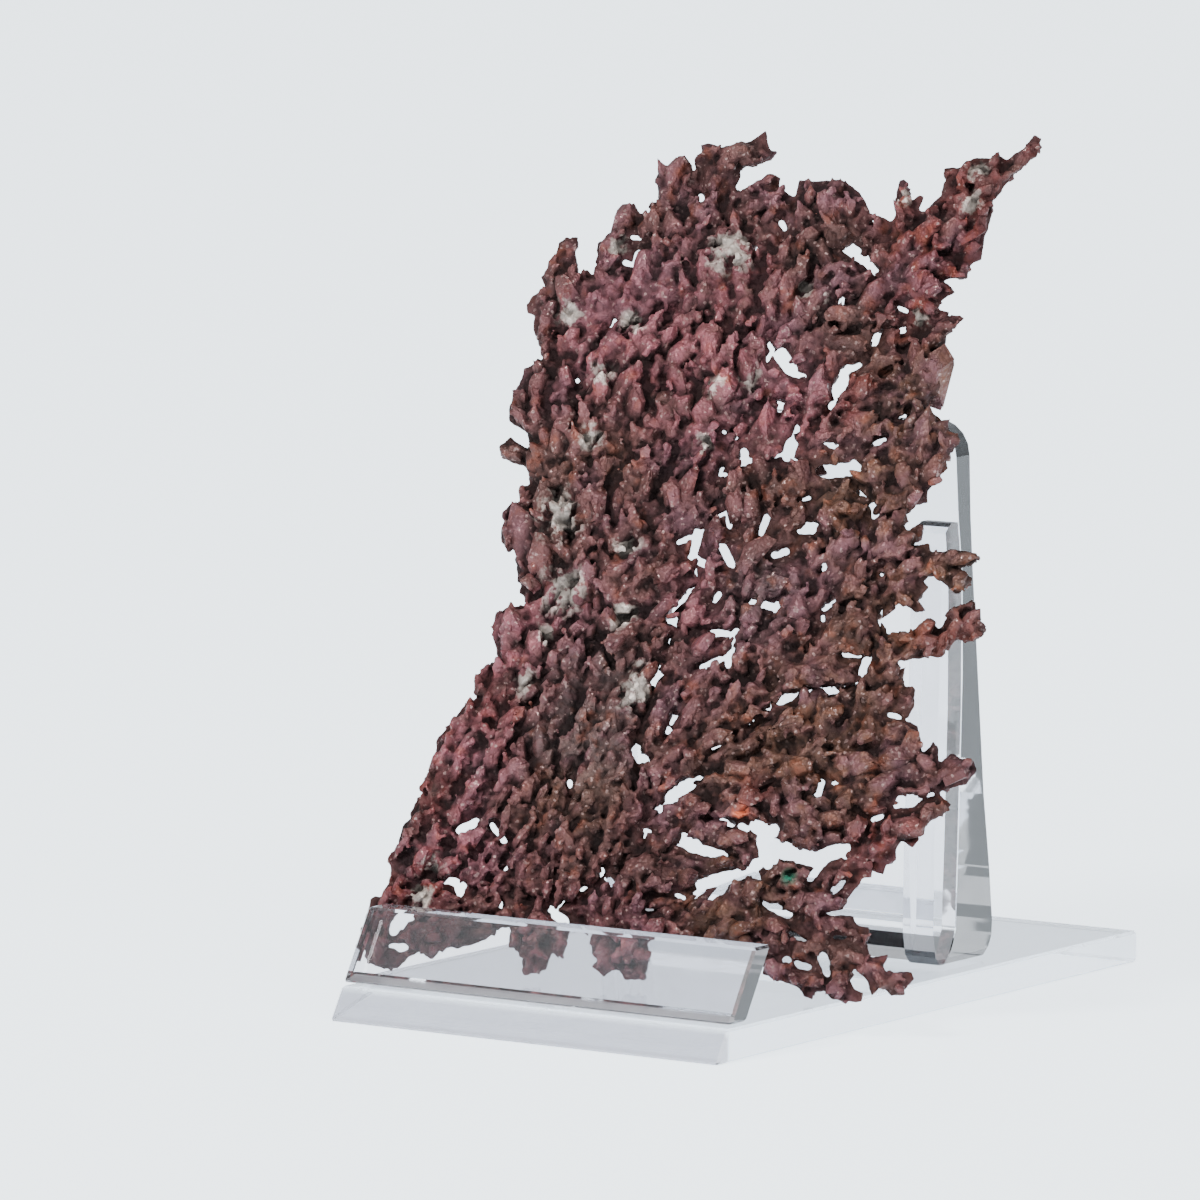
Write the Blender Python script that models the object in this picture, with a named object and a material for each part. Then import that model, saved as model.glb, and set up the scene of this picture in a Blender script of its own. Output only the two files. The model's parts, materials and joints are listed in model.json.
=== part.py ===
"""A flat, branching plate of native copper crystals on a clear three-piece display stand.

Metres, +Z up. The origin is the middle of the underside of the base, X to the right, Y to the back.
The copper is laid out in its own plane: u along its foot to the right, v up its face, n out of its face.
Every point of that layout is in millimetres and is turned into metres when it is placed on the stand.
"""
import math

import bmesh
import bpy
import numpy as np
from mathutils import Vector
from mathutils.geometry import delaunay_2d_cdt

MM = 0.001

# The stand: clear plates, in millimetres, y measured from the front edge of the underside
BASE_WIDTH = 41.0
BASE_DEPTH = 68.5
BASE_THICK = 2.9
LIP_LEAN_DEG = 31.5
LIP_TOP = 9.4
LIP_THICK = 2.2
REST_LEFT, REST_RIGHT = 3.0, 38.0
REST_TOP = 51.3
REST_CORNER = 3.0
RIB_WIDTH, RIB_TOP = 3.2, 42.5
EDGE_EASE = 0.25
TOUCH_GAP = 0.3

# The copper plate: where its foot stands and how it leans
PLATE_FOOT = (1.0, 8.2, 2.9)
PLATE_YAW_DEG = 13.2
PLATE_LEAN_DEG = 25.5
LEAN_U, LEAN_V = 0.411, -0.329
RIM_HALF = 0.34
FACE_RISE, BACK_RISE = 2.1, 1.15
LOBE_DROP, FOOT_CLEAR = 0.55, 0.42
ROW_PITCH = 2.5
TIP_PITCH = 2.5
PLAN_CELL = 0.25
TIP_CLEAR, HOLLOW_CLEAR = 1.3, 2.25
FORK_GAP = 0.36
SEED = 29

# The edge of the plate in (u, v), walked up the left side, over the top and down the right side
LEFT_EDGE = [
    (0.0, 0.3), (-1.0, 0.6), (-2.2, 1.6), (-2.2, 2.1), (-3.0, 3.0), (-4.0, 3.3), (-3.6, 4.9), (-3.4, 7.0),
    (-3.0, 7.4), (-2.5, 7.2), (-2.1, 8.4), (-1.5, 8.7), (-1.9, 9.4), (-2.2, 11.1), (-1.7, 12.2),
    (-1.5, 14.2), (-0.9, 14.6), (-1.0, 15.2), (-0.8, 16.0), (-0.2, 16.9), (0.3, 17.0), (-0.6, 17.6),
    (0.2, 19.2), (0.0, 20.0), (0.5, 20.6), (0.2, 22.0), (1.5, 23.9), (2.3, 25.4), (3.4, 26.3),
    (2.9, 27.7), (3.1, 28.3), (4.3, 29.6), (5.0, 29.4), (4.2, 31.6), (3.8, 32.9), (3.9, 34.0),
    (4.8, 34.8), (6.6, 35.0), (6.4, 35.9), (5.8, 36.1), (5.7, 36.6), (6.0, 37.0), (5.4, 37.2),
    (5.1, 38.5), (4.8, 39.4), (5.1, 40.0), (4.0, 40.3), (3.2, 40.9), (2.9, 42.3), (3.5, 42.5),
    (3.0, 43.3), (3.0, 43.9), (3.6, 44.8), (4.4, 44.6), (4.1, 45.5), (4.3, 46.2), (5.0, 46.4),
    (4.7, 47.6), (4.1, 48.2), (2.9, 48.4), (2.1, 49.0), (1.4, 49.9), (1.9, 50.4), (2.4, 50.8),
    (3.2, 50.3), (4.6, 49.7), (3.8, 51.4), (3.0, 51.8), (2.0, 52.3), (1.7, 53.5), (2.0, 54.9),
    (2.6, 57.0), (2.5, 57.4), (3.6, 58.0), (4.3, 58.5), (4.0, 59.3), (2.8, 61.1), (2.7, 62.2),
    (3.2, 62.4), (2.0, 62.7), (1.7, 63.5), (2.2, 64.4), (3.2, 65.2), (2.6, 66.3), (3.3, 66.4),
    (3.1, 67.8), (3.8, 68.6), (3.8, 69.6), (4.6, 70.1), (5.7, 69.8), (5.6, 68.8), (5.9, 67.6),
    (6.2, 66.5), (7.0, 67.1), (7.7, 66.5), (7.9, 68.1), (7.6, 68.9), (7.6, 69.7), (8.8, 70.4),
    (9.1, 71.1), (8.9, 72.0), (9.2, 72.7), (10.4, 73.7), (11.2, 72.6),
]
TOP_EDGE = [
    (12.5, 72.6), (11.9, 73.3), (12.0, 73.8), (12.7, 73.8), (12.4, 75.4), (12.1, 75.9), (12.4, 77.3),
    (13.4, 77.4), (14.2, 77.7), (15.0, 77.5), (15.6, 76.8), (16.2, 76.2), (16.5, 75.2), (16.5, 73.4),
    (16.9, 73.3), (17.0, 75.0), (16.2, 76.6), (15.6, 77.6), (15.9, 78.3), (16.2, 78.7), (15.9, 79.4),
    (16.7, 79.6), (18.0, 79.2), (18.9, 79.6), (19.8, 79.6), (20.9, 80.1), (21.9, 81.0), (22.4, 79.5),
    (22.9, 78.9), (22.0, 77.9), (20.8, 77.8), (20.1, 77.0), (20.2, 76.4), (19.8, 75.1), (20.8, 75.2),
    (22.6, 76.5), (23.5, 76.7), (24.0, 76.4), (24.0, 75.5), (24.9, 75.1), (25.7, 74.6), (25.8, 75.6),
    (25.9, 76.3), (27.1, 76.2), (28.2, 76.3), (29.2, 76.4), (29.9, 76.4), (31.2, 75.7), (31.9, 75.1),
    (32.5, 74.4), (33.1, 73.2), (33.4, 72.4), (33.8, 73.2), (35.1, 72.6), (35.8, 72.7), (35.3, 73.9),
    (35.3, 76.5), (35.8, 76.7), (36.5, 75.4), (36.7, 74.5), (37.4, 75.2), (37.9, 75.1), (37.6, 73.6),
    (38.4, 73.7), (38.8, 74.5), (39.6, 75.4), (39.5, 76.4), (39.8, 76.9), (39.3, 77.8), (40.2, 78.0),
    (40.7, 77.9), (41.3, 78.5), (42.3, 78.9), (43.6, 78.9), (44.2, 79.2), (45.1, 78.8), (46.6, 80.0),
    (47.3, 81.3), (48.0, 80.8), (47.9, 79.1),
]
RIGHT_EDGE = [
    (47.1, 78.9), (46.1, 77.6), (45.1, 76.0), (44.4, 74.9), (44.5, 73.8), (44.4, 72.6), (44.2, 71.5),
    (44.2, 70.5), (44.2, 69.3), (43.2, 68.7), (43.1, 67.4), (41.4, 67.3), (40.1, 67.0), (41.4, 66.8),
    (42.2, 66.1), (41.0, 65.2), (41.0, 64.6), (40.4, 64.5), (41.4, 64.1), (41.2, 63.4), (41.7, 63.9),
    (43.4, 63.7), (42.1, 62.1), (42.1, 61.2), (41.3, 60.6), (41.9, 59.8), (42.3, 58.5), (42.2, 57.4),
    (42.0, 56.2), (40.7, 55.9), (42.2, 54.5), (43.4, 53.5), (44.6, 51.8), (43.9, 50.8), (43.4, 49.6),
    (43.1, 48.4), (42.5, 47.2), (42.7, 46.3), (40.9, 45.9), (40.6, 44.4), (41.3, 43.6), (42.1, 44.3),
    (42.7, 44.2), (42.5, 43.1), (42.0, 42.2), (41.2, 40.8), (42.1, 42.3), (43.4, 42.5), (43.8, 41.7),
    (46.4, 42.0), (47.6, 41.8), (48.3, 41.4), (47.7, 40.6), (46.5, 40.4), (48.0, 39.4), (47.4, 38.6),
    (47.0, 38.0), (46.4, 38.1), (45.0, 39.2), (44.2, 39.7), (43.4, 39.0), (44.1, 38.5), (43.2, 37.3),
    (44.1, 36.3), (43.3, 36.1), (41.3, 37.1), (41.3, 36.3), (39.5, 34.7), (40.1, 35.1), (40.7, 34.5),
    (40.8, 33.9), (43.4, 34.3), (44.3, 35.4), (45.0, 35.3), (45.6, 34.6), (46.2, 35.7), (46.3, 36.6),
    (48.6, 37.4), (48.8, 35.8), (49.7, 35.1), (49.8, 34.3), (49.0, 33.7), (46.7, 33.8), (46.8, 32.9),
    (44.2, 31.8), (42.3, 31.9), (42.4, 30.4), (43.0, 29.5), (42.5, 28.7), (43.6, 29.3), (44.3, 29.0),
    (44.4, 27.4), (43.8, 26.7), (42.0, 26.8), (42.1, 26.4), (43.8, 26.1), (45.0, 25.7), (45.4, 24.7),
    (45.8, 23.1), (46.7, 24.2), (47.2, 23.8), (47.7, 21.6), (47.8, 22.6), (48.6, 23.4), (49.5, 22.8),
    (50.2, 23.1), (51.1, 22.0), (50.3, 20.6), (47.9, 19.8), (45.3, 19.4), (44.2, 19.4), (43.9, 18.0),
    (45.8, 18.3), (46.8, 19.2), (48.0, 19.6), (49.2, 18.7), (48.6, 17.7), (47.7, 17.2), (46.5, 15.9),
    (46.8, 15.4), (46.3, 14.6), (45.2, 15.2), (44.8, 14.3), (45.0, 13.4), (44.1, 12.9), (44.0, 12.0),
    (42.5, 12.4), (41.9, 11.0), (41.0, 9.4), (40.8, 8.6), (38.6, 8.3), (38.8, 8.0), (40.5, 8.1),
    (41.9, 8.1), (42.3, 7.3), (43.5, 7.2),
]
FOOT_EDGE = [
    (43.7, 6.3), (40.3, 6.3), (40.3, 5.9), (42.4, 6.0), (43.6, 5.6), (44.0, 4.4), (45.7, 4.9),
    (45.3, 3.9), (45.6, 3.2), (48.0, 3.4), (48.3, 2.8), (47.4, 1.5), (46.5, 1.1), (45.4, 2.1),
    (44.7, 1.0), (44.1, 2.3), (43.1, 3.2), (42.7, 3.7), (42.4, 2.6), (43.0, 1.5), (43.9, 1.3),
    (43.9, 0.2), (42.0, 0.2), (41.1, 0.5), (40.4, 1.2), (39.4, 1.2), (39.3, 0.3), (38.5, 0.6),
    (38.0, 1.4), (36.3, 1.8), (34.4, 2.4), (34.4, 4.0), (33.2, 4.9), (32.7, 4.7), (31.6, 5.2),
    (30.8, 4.8), (29.8, 5.4), (28.6, 5.1), (26.8, 5.0), (25.2, 5.2), (23.8, 4.6), (24.3, 3.2),
    (24.1, 1.5), (23.2, 1.4), (22.3, 1.3), (21.3, 2.4), (20.3, 1.4), (19.0, 2.3), (20.0, 3.6),
    (18.8, 3.3), (18.6, 5.2), (17.6, 5.6), (16.4, 5.0), (16.2, 2.8), (15.2, 3.6), (14.8, 1.8),
    (13.9, 1.3), (12.8, 1.6), (12.4, 2.9), (10.9, 3.8), (10.9, 5.2), (9.3, 4.9), (9.0, 4.1), (7.6, 3.6),
    (6.0, 3.4), (4.6, 3.0), (4.1, 2.0), (3.6, 2.1), (2.9, 2.8), (1.6, 2.0), (0.9, 0.9),
]
EDGE = LEFT_EDGE + TOP_EDGE + RIGHT_EDGE + FOOT_EDGE

# The windows between branches: each runs from one (u, v) to another and has a width
WINDOWS = [
    (0, 4.2, 1.2, 5.7, 1.6), (-0.1, 2.3, 1.2, 2.4, 0.8), (3, 9.2, 5.3, 9, 0.7), (4.6, 9, 5, 8, 0.8),
    (3.9, 13.8, 5.6, 14.8, 0.8), (6.8, 14.6, 8.4, 13, 0.5), (6.3, 12, 6.7, 12, 0.4),
    (8.5, 10.7, 8.9, 10.6, 0.6), (8.5, 9.2, 8.7, 9, 0.5), (8.9, 7.5, 8.9, 6.8, 0.5),
    (8.2, 6.5, 8.1, 5.9, 0.5), (13.5, 12.3, 13.7, 11.3, 0.3), (13.6, 7.1, 15.3, 6, 0.9),
    (15.1, 8.3, 15.9, 8.1, 0.4), (17.9, 11, 19.2, 9.6, 0.6), (20.2, 11.9, 21.2, 11.4, 0.4),
    (21.4, 14.9, 21.8, 14.6, 0.6), (22.6, 7.6, 23.4, 7.6, 0.4), (25.2, 9.1, 26.2, 8.7, 0.45),
    (26.2, 8.5, 27.7, 9.6, 0.4), (27.4, 10.2, 30, 11, 1.2), (28.6, 8.8, 29.6, 10.2, 0.8),
    (25, 14.2, 26.4, 13.5, 1.3), (26.4, 13.4, 29, 12.9, 0.9), (12.7, 19.9, 13.5, 19.7, 0.4),
    (13.5, 19, 14, 17.5, 0.45), (31.6, 15.8, 33.2, 15.4, 1.4), (32.6, 14.6, 33.4, 12.6, 1.6),
    (33, 14, 38, 13, 1.6), (38, 13.2, 40, 14.2, 1.4), (38.2, 12.6, 37.3, 11.2, 0.7),
    (32.3, 12.3, 30.2, 10.9, 1.2), (31.9, 11.8, 32.6, 10.9, 0.7), (30.8, 15.4, 30.2, 15.7, 0.7),
    (33.7, 8.8, 35.9, 7.9, 0.8), (36.3, 6.3, 37.9, 5.5, 0.4), (36.2, 3.8, 38.6, 3.2, 0.6),
    (39.6, 4.3, 40.4, 2.9, 0.9), (39.7, 10.2, 40.4, 11.3, 0.7), (37.9, 15.5, 38.9, 15.7, 0.4),
    (19.2, 22.2, 20.3, 21, 1.1), (18.7, 24.1, 18.7, 23.5, 0.5), (22.5, 25.6, 22.4, 24.7, 0.9),
    (22.2, 24.4, 21.6, 23.5, 0.7), (25.9, 19.9, 24.9, 19.5, 0.6), (24.9, 19.3, 23.6, 18.4, 1.2),
    (23.6, 18.2, 22.9, 16.9, 1.4), (22.9, 16.9, 21.6, 16.4, 0.7), (26.8, 16.5, 29.5, 15.8, 0.55),
    (26.1, 22.5, 27.1, 23.1, 0.5), (28.8, 24.4, 29.9, 25.7, 0.4), (19.6, 28.3, 20.6, 29.4, 0.45),
    (20.5, 31.3, 20.4, 30.4, 0.4), (24.2, 33.2, 27, 33.5, 0.7), (26.6, 33.2, 26.7, 32.6, 0.7),
    (26.6, 31.4, 26.7, 30, 0.8), (24.1, 30, 26.3, 31.2, 0.6), (31, 26.7, 32.9, 27.8, 0.8),
    (32.9, 27.8, 34.8, 28.5, 0.5), (36, 28.4, 37.3, 28.5, 0.6), (37.3, 28.5, 37.9, 29.6, 0.5),
    (37.2, 32, 39.2, 31.9, 0.6), (39.4, 31.9, 39.2, 29.8, 0.8), (29.5, 29.9, 30.8, 30.5, 0.4),
    (33.9, 22.6, 34.8, 22.5, 0.3), (38.2, 23.3, 39.7, 23.7, 0.35), (40.9, 23.9, 41.6, 24.4, 0.4),
    (37, 20.2, 36.8, 18.6, 0.7), (38, 20.1, 38.7, 20, 0.35), (42.2, 16.9, 43.1, 17.3, 0.45),
    (30.3, 22.8, 31.2, 23.4, 0.3), (19.4, 41.2, 21.2, 42.1, 0.5), (21.8, 43, 21.5, 40.4, 0.9),
    (21.6, 40.3, 23, 39.6, 0.7), (24.1, 41.6, 25.4, 39.7, 0.7), (25.4, 39.7, 26, 39.5, 0.5),
    (23.4, 44.2, 24.2, 44.6, 0.4), (24.3, 44.6, 24.6, 43.2, 0.5), (24.8, 43.2, 25.7, 42.4, 0.35),
    (26.5, 46.9, 27.9, 45.6, 0.3), (28, 44.4, 27.6, 42.6, 0.7), (23, 48.1, 23, 47.5, 0.4),
    (29.2, 40.8, 30.4, 41.2, 0.7), (31.1, 43.4, 32.6, 43.5, 1.1), (31, 46, 31.9, 46.3, 0.45),
    (32.4, 48.7, 35.6, 49.2, 1.3), (35.2, 49.8, 35.8, 48.4, 0.6), (34.3, 41.8, 34.2, 41, 0.4),
    (33.9, 40.2, 34.3, 39.4, 0.5), (27.3, 36.6, 28.6, 36.3, 0.8), (28.6, 36.2, 30.2, 35.9, 0.7),
    (30.4, 37.1, 30.2, 35.1, 0.5), (24.5, 37.9, 24.8, 37.2, 0.3), (24.7, 37, 24.3, 36.3, 0.6),
    (21.6, 38.1, 22.5, 37.6, 0.35), (22.5, 37.3, 21.2, 36, 0.35), (19.6, 34.6, 20.8, 34.6, 0.4),
    (21, 34.4, 21.1, 33, 0.55), (35.6, 37.1, 34.6, 36, 0.8), (34.6, 36, 34.8, 34.9, 0.5),
    (34.3, 33.2, 34, 32.2, 0.35), (37.8, 45.9, 38.1, 44.7, 0.7), (37.7, 44.1, 37, 42.6, 0.35),
    (39.4, 41.1, 39.9, 40.4, 0.35), (38.3, 40.2, 39.3, 40.2, 0.35), (39.4, 40, 39.9, 39.2, 0.35),
    (7.9, 56.5, 8.5, 56.5, 0.7), (10.5, 62.4, 10.3, 60.7, 0.45), (11.3, 61.7, 11.7, 61.1, 0.3),
    (15.7, 64, 16.3, 63, 0.35), (10.7, 70.3, 12.1, 70.2, 0.45), (10.4, 67.9, 11.8, 67.6, 0.5),
    (11.7, 68.9, 11.5, 67.7, 0.7), (24.9, 61.5, 25.8, 60.2, 0.4), (26, 60, 25.2, 58.3, 0.35),
    (26.6, 59.8, 28, 58.3, 1.3), (28, 58, 29.3, 57.6, 0.6), (26.4, 63.6, 27, 63, 0.6),
    (26.6, 55.2, 27.9, 55.2, 0.4), (27.6, 54.9, 27.6, 54, 0.5), (29.1, 54.8, 29.9, 54, 0.35),
    (26.7, 53.9, 26.3, 53.1, 0.35), (29.5, 52.9, 29.3, 51.5, 0.6), (29.2, 51.3, 29, 50.1, 1.2),
    (22.5, 52.2, 24.2, 51.5, 0.4), (24.8, 50.3, 25, 49.4, 0.9), (25, 49.6, 26.2, 49.4, 0.5),
    (31.9, 65.5, 31.7, 64.3, 0.6), (32, 62.5, 31.6, 61.5, 0.4), (35.2, 62, 38.2, 62.3, 0.5),
    (35.6, 61.9, 35.1, 60, 0.7), (36.9, 64.4, 38.2, 64.2, 0.45), (36.8, 58.3, 37.8, 59.3, 0.3),
    (34.4, 58.9, 33, 58.1, 0.6), (33.3, 58.3, 32.7, 56.5, 1.3), (32.7, 56.3, 32.3, 54.8, 0.6),
    (32.2, 54.6, 31.9, 53.8, 0.35), (38.9, 54, 39.7, 54.4, 0.45), (36.8, 51.5, 37.9, 52, 0.5),
    (32, 51.3, 33.6, 51.2, 0.5), (33.6, 51.3, 34.8, 52.1, 0.4), (16.8, 75.5, 17, 74.1, 0.35),
    (20.1, 73.1, 19.9, 72.5, 0.4), (23.8, 73.2, 24.6, 72.4, 0.3), (24.8, 72.2, 25.3, 71.5, 0.5),
    (25.1, 71.2, 25.2, 70.2, 0.35), (22.5, 69.7, 23.2, 69.7, 0.5), (28.1, 66.9, 28.9, 67.4, 0.35),
    (29.2, 71.8, 29.6, 71.3, 0.3), (30.2, 70.5, 31.2, 70.4, 0.6), (31.2, 70.2, 33.2, 68.9, 1.1),
    (33.2, 68.9, 34.9, 67.4, 0.7), (34.9, 67.3, 35.5, 66.5, 0.4), (34, 71.2, 34.6, 70.8, 0.4),
    (40.8, 73.7, 41.1, 73.6, 0.3), (41.4, 70.9, 41.1, 70.2, 0.35), (41.6, 75.9, 43.4, 76.5, 0.3),
]

# The direction of growth at chosen places: (u, v, degrees from the u axis)
GROWTH = [
    (-2.5, 4.0, 250), (0.0, 9.0, 60), (4.0, 12.5, 55), (1.0, 16.0, 62), (3.0, 20.0, 68), (5.5, 25.0, 72),
    (7.0, 31.0, 85), (6.0, 38.0, 95), (5.0, 43.5, 110), (8.0, 45.0, 95), (3.0, 49.5, 165),
    (6.0, 53.0, 98), (5.0, 58.0, 100), (4.5, 66.0, 95), (9.0, 70.0, 78), (9.0, 62.0, 92),
    (13.5, 72.0, 90), (14.0, 76.0, 88), (19.0, 79.0, 12), (22.0, 75.5, 30), (18.0, 75.5, 80),
    (13.0, 60.0, 60), (16.0, 57.0, 58), (14.0, 50.0, 78), (16.0, 44.0, 88), (13.0, 38.0, 95),
    (12.0, 31.0, 85), (17.0, 31.0, 80), (14.0, 24.0, 80), (12.0, 17.0, 78), (9.0, 14.0, 70),
    (14.0, 10.0, 85), (10.0, 7.5, 80), (6.0, 6.5, 20), (13.5, 3.0, 270), (16.0, 4.0, 280),
    (21.0, 3.5, 275), (23.5, 2.5, 300), (20.0, 9.0, 80), (24.0, 11.5, 6), (28.0, 12.2, 8),
    (24.0, 7.0, 15), (28.0, 7.0, 50), (30.0, 13.8, -35), (23.0, 14.5, 30), (31.0, 9.0, 55),
    (33.0, 6.5, -35), (35.5, 11.0, 20), (37.5, 9.5, 35), (41.0, 12.0, 50), (43.5, 13.6, 5),
    (43.0, 15.5, 45), (38.0, 7.0, -25), (41.5, 7.0, -10), (37.0, 2.6, -18), (42.0, 2.0, -70),
    (42.5, 4.8, -30), (46.0, 3.0, -20), (19.0, 19.0, 85), (20.0, 25.0, 75), (23.0, 21.5, 35),
    (24.0, 27.5, 55), (27.0, 25.0, 35), (27.0, 18.0, 20), (30.0, 20.5, 18), (33.0, 25.0, 28),
    (34.0, 18.0, -40), (37.0, 26.0, 35), (38.5, 21.5, -25), (40.0, 17.0, 40), (44.0, 20.2, 2),
    (49.0, 21.5, 22), (47.0, 18.4, 25), (46.7, 22.5, 88), (44.5, 25.0, 120), (43.5, 28.2, 75),
    (41.5, 30.0, 92), (20.0, 36.5, 25), (20.0, 45.0, 80), (22.0, 47.0, 75), (23.5, 36.0, 70),
    (23.0, 31.5, 45), (26.0, 38.5, 110), (26.5, 44.0, 108), (25.5, 47.5, 115), (29.0, 46.5, 100),
    (28.5, 39.5, 15), (28.5, 33.0, 80), (28.0, 30.5, 95), (31.0, 35.5, 68), (33.0, 41.0, 72),
    (33.0, 32.0, 62), (32.5, 46.5, 10), (35.5, 42.5, 85), (36.0, 48.0, 85), (36.5, 36.5, 60),
    (37.0, 33.5, 20), (37.0, 31.0, -12), (39.0, 44.5, 80), (39.5, 49.5, 80), (42.0, 50.5, 60),
    (42.0, 53.0, 110), (42.5, 41.5, 40), (46.0, 41.4, 0), (45.8, 39.2, -38), (42.0, 38.5, 5),
    (42.5, 36.8, -30), (41.0, 33.0, 5), (45.0, 33.5, 10), (48.0, 35.0, 35), (40.5, 35.0, 100),
    (44.5, 35.0, 80), (22.0, 54.0, 80), (24.0, 58.0, 95), (28.0, 57.0, 0), (30.5, 54.0, 75),
    (31.0, 58.5, 80), (34.0, 55.5, 55), (36.0, 59.5, 55), (38.5, 62.5, 62), (37.5, 56.0, 42),
    (40.5, 58.5, 80), (37.5, 53.0, 30), (42.5, 63.2, 38), (33.5, 61.5, 30), (29.0, 62.0, 60),
    (20.0, 63.0, 88), (17.0, 67.0, 90), (21.0, 69.5, 85), (25.0, 66.0, 85), (27.5, 70.0, 88),
    (28.0, 74.5, 95), (31.0, 73.5, 70), (34.0, 64.5, 50), (34.5, 69.5, 125), (36.0, 74.5, 92),
    (37.5, 69.0, 55), (40.0, 72.5, 58), (41.0, 66.2, -8), (43.0, 71.0, 65), (41.0, 76.5, 60),
    (43.0, 78.0, 20), (45.5, 77.8, 45), (47.5, 80.5, 62), (38.5, 65.8, 0),
]

# Where the plate divides: cuts through the main forks, from window to window, as (u, v) polylines
FORKS = [
    [(-4.5, 8.9), (3.2, 9.2), (5.0, 8.6), (8.7, 9.0), (8.9, 7.0), (9.1, 2.6)],
    [(8.7, 9.0), (13.8, 7.0), (15.5, 8.2), (18.2, 10.7), (20.8, 11.6), (25.6, 13.9)],
    [(27.4, 9.7), (26.3, 8.7), (25.0, 3.6)],
    [(25.6, 13.9), (29.2, 12.9), (31.2, 12.2)],
    [(39.4, 13.8), (42.3, 12.5), (43.4, 11.6)],
    [(20.8, 11.6), (21.6, 14.8), (21.9, 16.4), (20.3, 21.0), (19.2, 22.2), (18.7, 23.8), (20.1, 28.8),
     (20.5, 31.0), (21.0, 33.5), (20.0, 34.6)],
    [(20.0, 34.6), (12.0, 34.0), (7.0, 35.3), (4.5, 35.5)],
    [(20.0, 34.6), (21.3, 36.2), (22.2, 37.8), (21.7, 40.4), (21.7, 43.0), (22.9, 47.8), (23.2, 51.9)],
    [(23.2, 51.9), (24.6, 55.5), (25.1, 58.4), (26.0, 59.8), (25.2, 61.2)],
    [(1.0, 60.0), (10.6, 61.6), (15.9, 63.3), (25.2, 61.2)],
    [(21.0, 33.5), (24.2, 33.2), (26.8, 33.2), (26.7, 30.2), (30.2, 30.2), (32.4, 27.6), (35.8, 28.6),
     (37.6, 28.9), (39.1, 29.6), (42.4, 28.7), (43.6, 29.8)],
    [(22.9, 47.8), (24.9, 49.3), (28.6, 50.2), (32.2, 48.5), (34.2, 48.8), (37.5, 45.8), (42.4, 45.1)],
    [(25.2, 61.2), (27.0, 63.0), (31.8, 62.4), (34.9, 61.9), (37.4, 62.3), (40.9, 63.3), (41.9, 64.4)],
    [(31.8, 62.4), (31.9, 64.8), (35.4, 66.8)],
    [(33.2, 68.7), (33.4, 73.2)],
    [(39.3, 31.8), (39.5, 33.4), (39.8, 34.9)],
    [(40.0, 34.6), (39.9, 38.5), (39.5, 39.6), (39.3, 40.7), (41.4, 41.0)],
]

# One place inside each division of the plate, with its name
DIVISIONS = {
    "copper_left_foot": (1.5, 7.5),
    "copper_front_lobes": (17.0, 7.3),
    "copper_right_foot": (33.0, 7.0),
    "copper_lower_trunk": (10.0, 22.0),
    "copper_lower_fan": (34.0, 20.5),
    "copper_left_column": (14.0, 46.0),
    "copper_middle_fan": (30.5, 34.0),
    "copper_finger": (43.0, 33.3),
    "copper_claw": (41.5, 38.3),
    "copper_upper_fan": (39.0, 50.0),
    "copper_crown": (21.0, 67.0),
    "copper_spike": (40.0, 69.5),
}


def clear_scene():
    for item in list(bpy.data.objects):
        bpy.data.objects.remove(item, do_unlink=True)


def stand_point(x, y, z):
    """A point of the stand, measured from the front left corner of its underside, in metres."""
    return Vector(((x - BASE_WIDTH / 2) * MM, (y - BASE_DEPTH / 2) * MM, z * MM))


def plate_point(u, v, n):
    """A point of the leaning copper plate; its edges slope with the face so that the windows stay open."""
    u = u + LEAN_U * n
    v = v + LEAN_V * n
    yaw = math.radians(PLATE_YAW_DEG)
    lean = math.radians(PLATE_LEAN_DEG)
    along = np.array((math.cos(yaw), math.sin(yaw), 0.0))
    back = np.array((-math.sin(yaw), math.cos(yaw), 0.0))
    up = np.array((0.0, 0.0, 1.0))
    rise = math.cos(lean) * up + math.sin(lean) * back
    out = math.sin(lean) * up - math.cos(lean) * back
    place = np.array(PLATE_FOOT) + u * along + v * rise + n * out
    return stand_point(*place)


# Flat layout of the plate

def capsule(u0, v0, u1, v1, width):
    """A rounded slot as a ring of points walked the same way round as the others."""
    angle = math.atan2(v1 - v0, u1 - u0)
    r = width / 2
    turns = (90, 150, 210, 270) if width >= 0.75 else (90, 180, 270)
    around = [angle + math.radians(turn) for turn in turns]
    round_end = [(r * math.cos(t), r * math.sin(t)) for t in around]
    first = [(u0 + du, v0 + dv) for du, dv in round_end]
    last = [(u1 - du, v1 - dv) for du, dv in round_end]
    return first + last


def set_down(u, v):
    """The lowest lobes reach a little further down behind the lip, but stay clear of the base."""
    if u < 27 and v < 6.3:
        v -= LOBE_DROP * min(1.0, (6.3 - v) / 3)
    return (u, max(v, FOOT_CLEAR))


def fork_strip(start, end):
    """The thin gap along one stretch of a fork, drawn a little past both ends."""
    du, dv = end[0] - start[0], end[1] - start[1]
    length = math.hypot(du, dv)
    du, dv = du / length, dv / length
    half = FORK_GAP / 2
    reach = half * 0.9
    u0, v0 = start[0] - du * reach, start[1] - dv * reach
    u1, v1 = end[0] + du * reach, end[1] + dv * reach
    return [(u0 + dv * half, v0 - du * half), (u1 + dv * half, v1 - du * half),
            (u1 - dv * half, v1 + du * half), (u0 - dv * half, v0 + du * half)]


def openings():
    rings = [capsule(*window) for window in WINDOWS]
    for line in FORKS:
        for start, end in zip(line, line[1:]):
            rings.append(fork_strip(start, end))
    return rings


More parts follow.
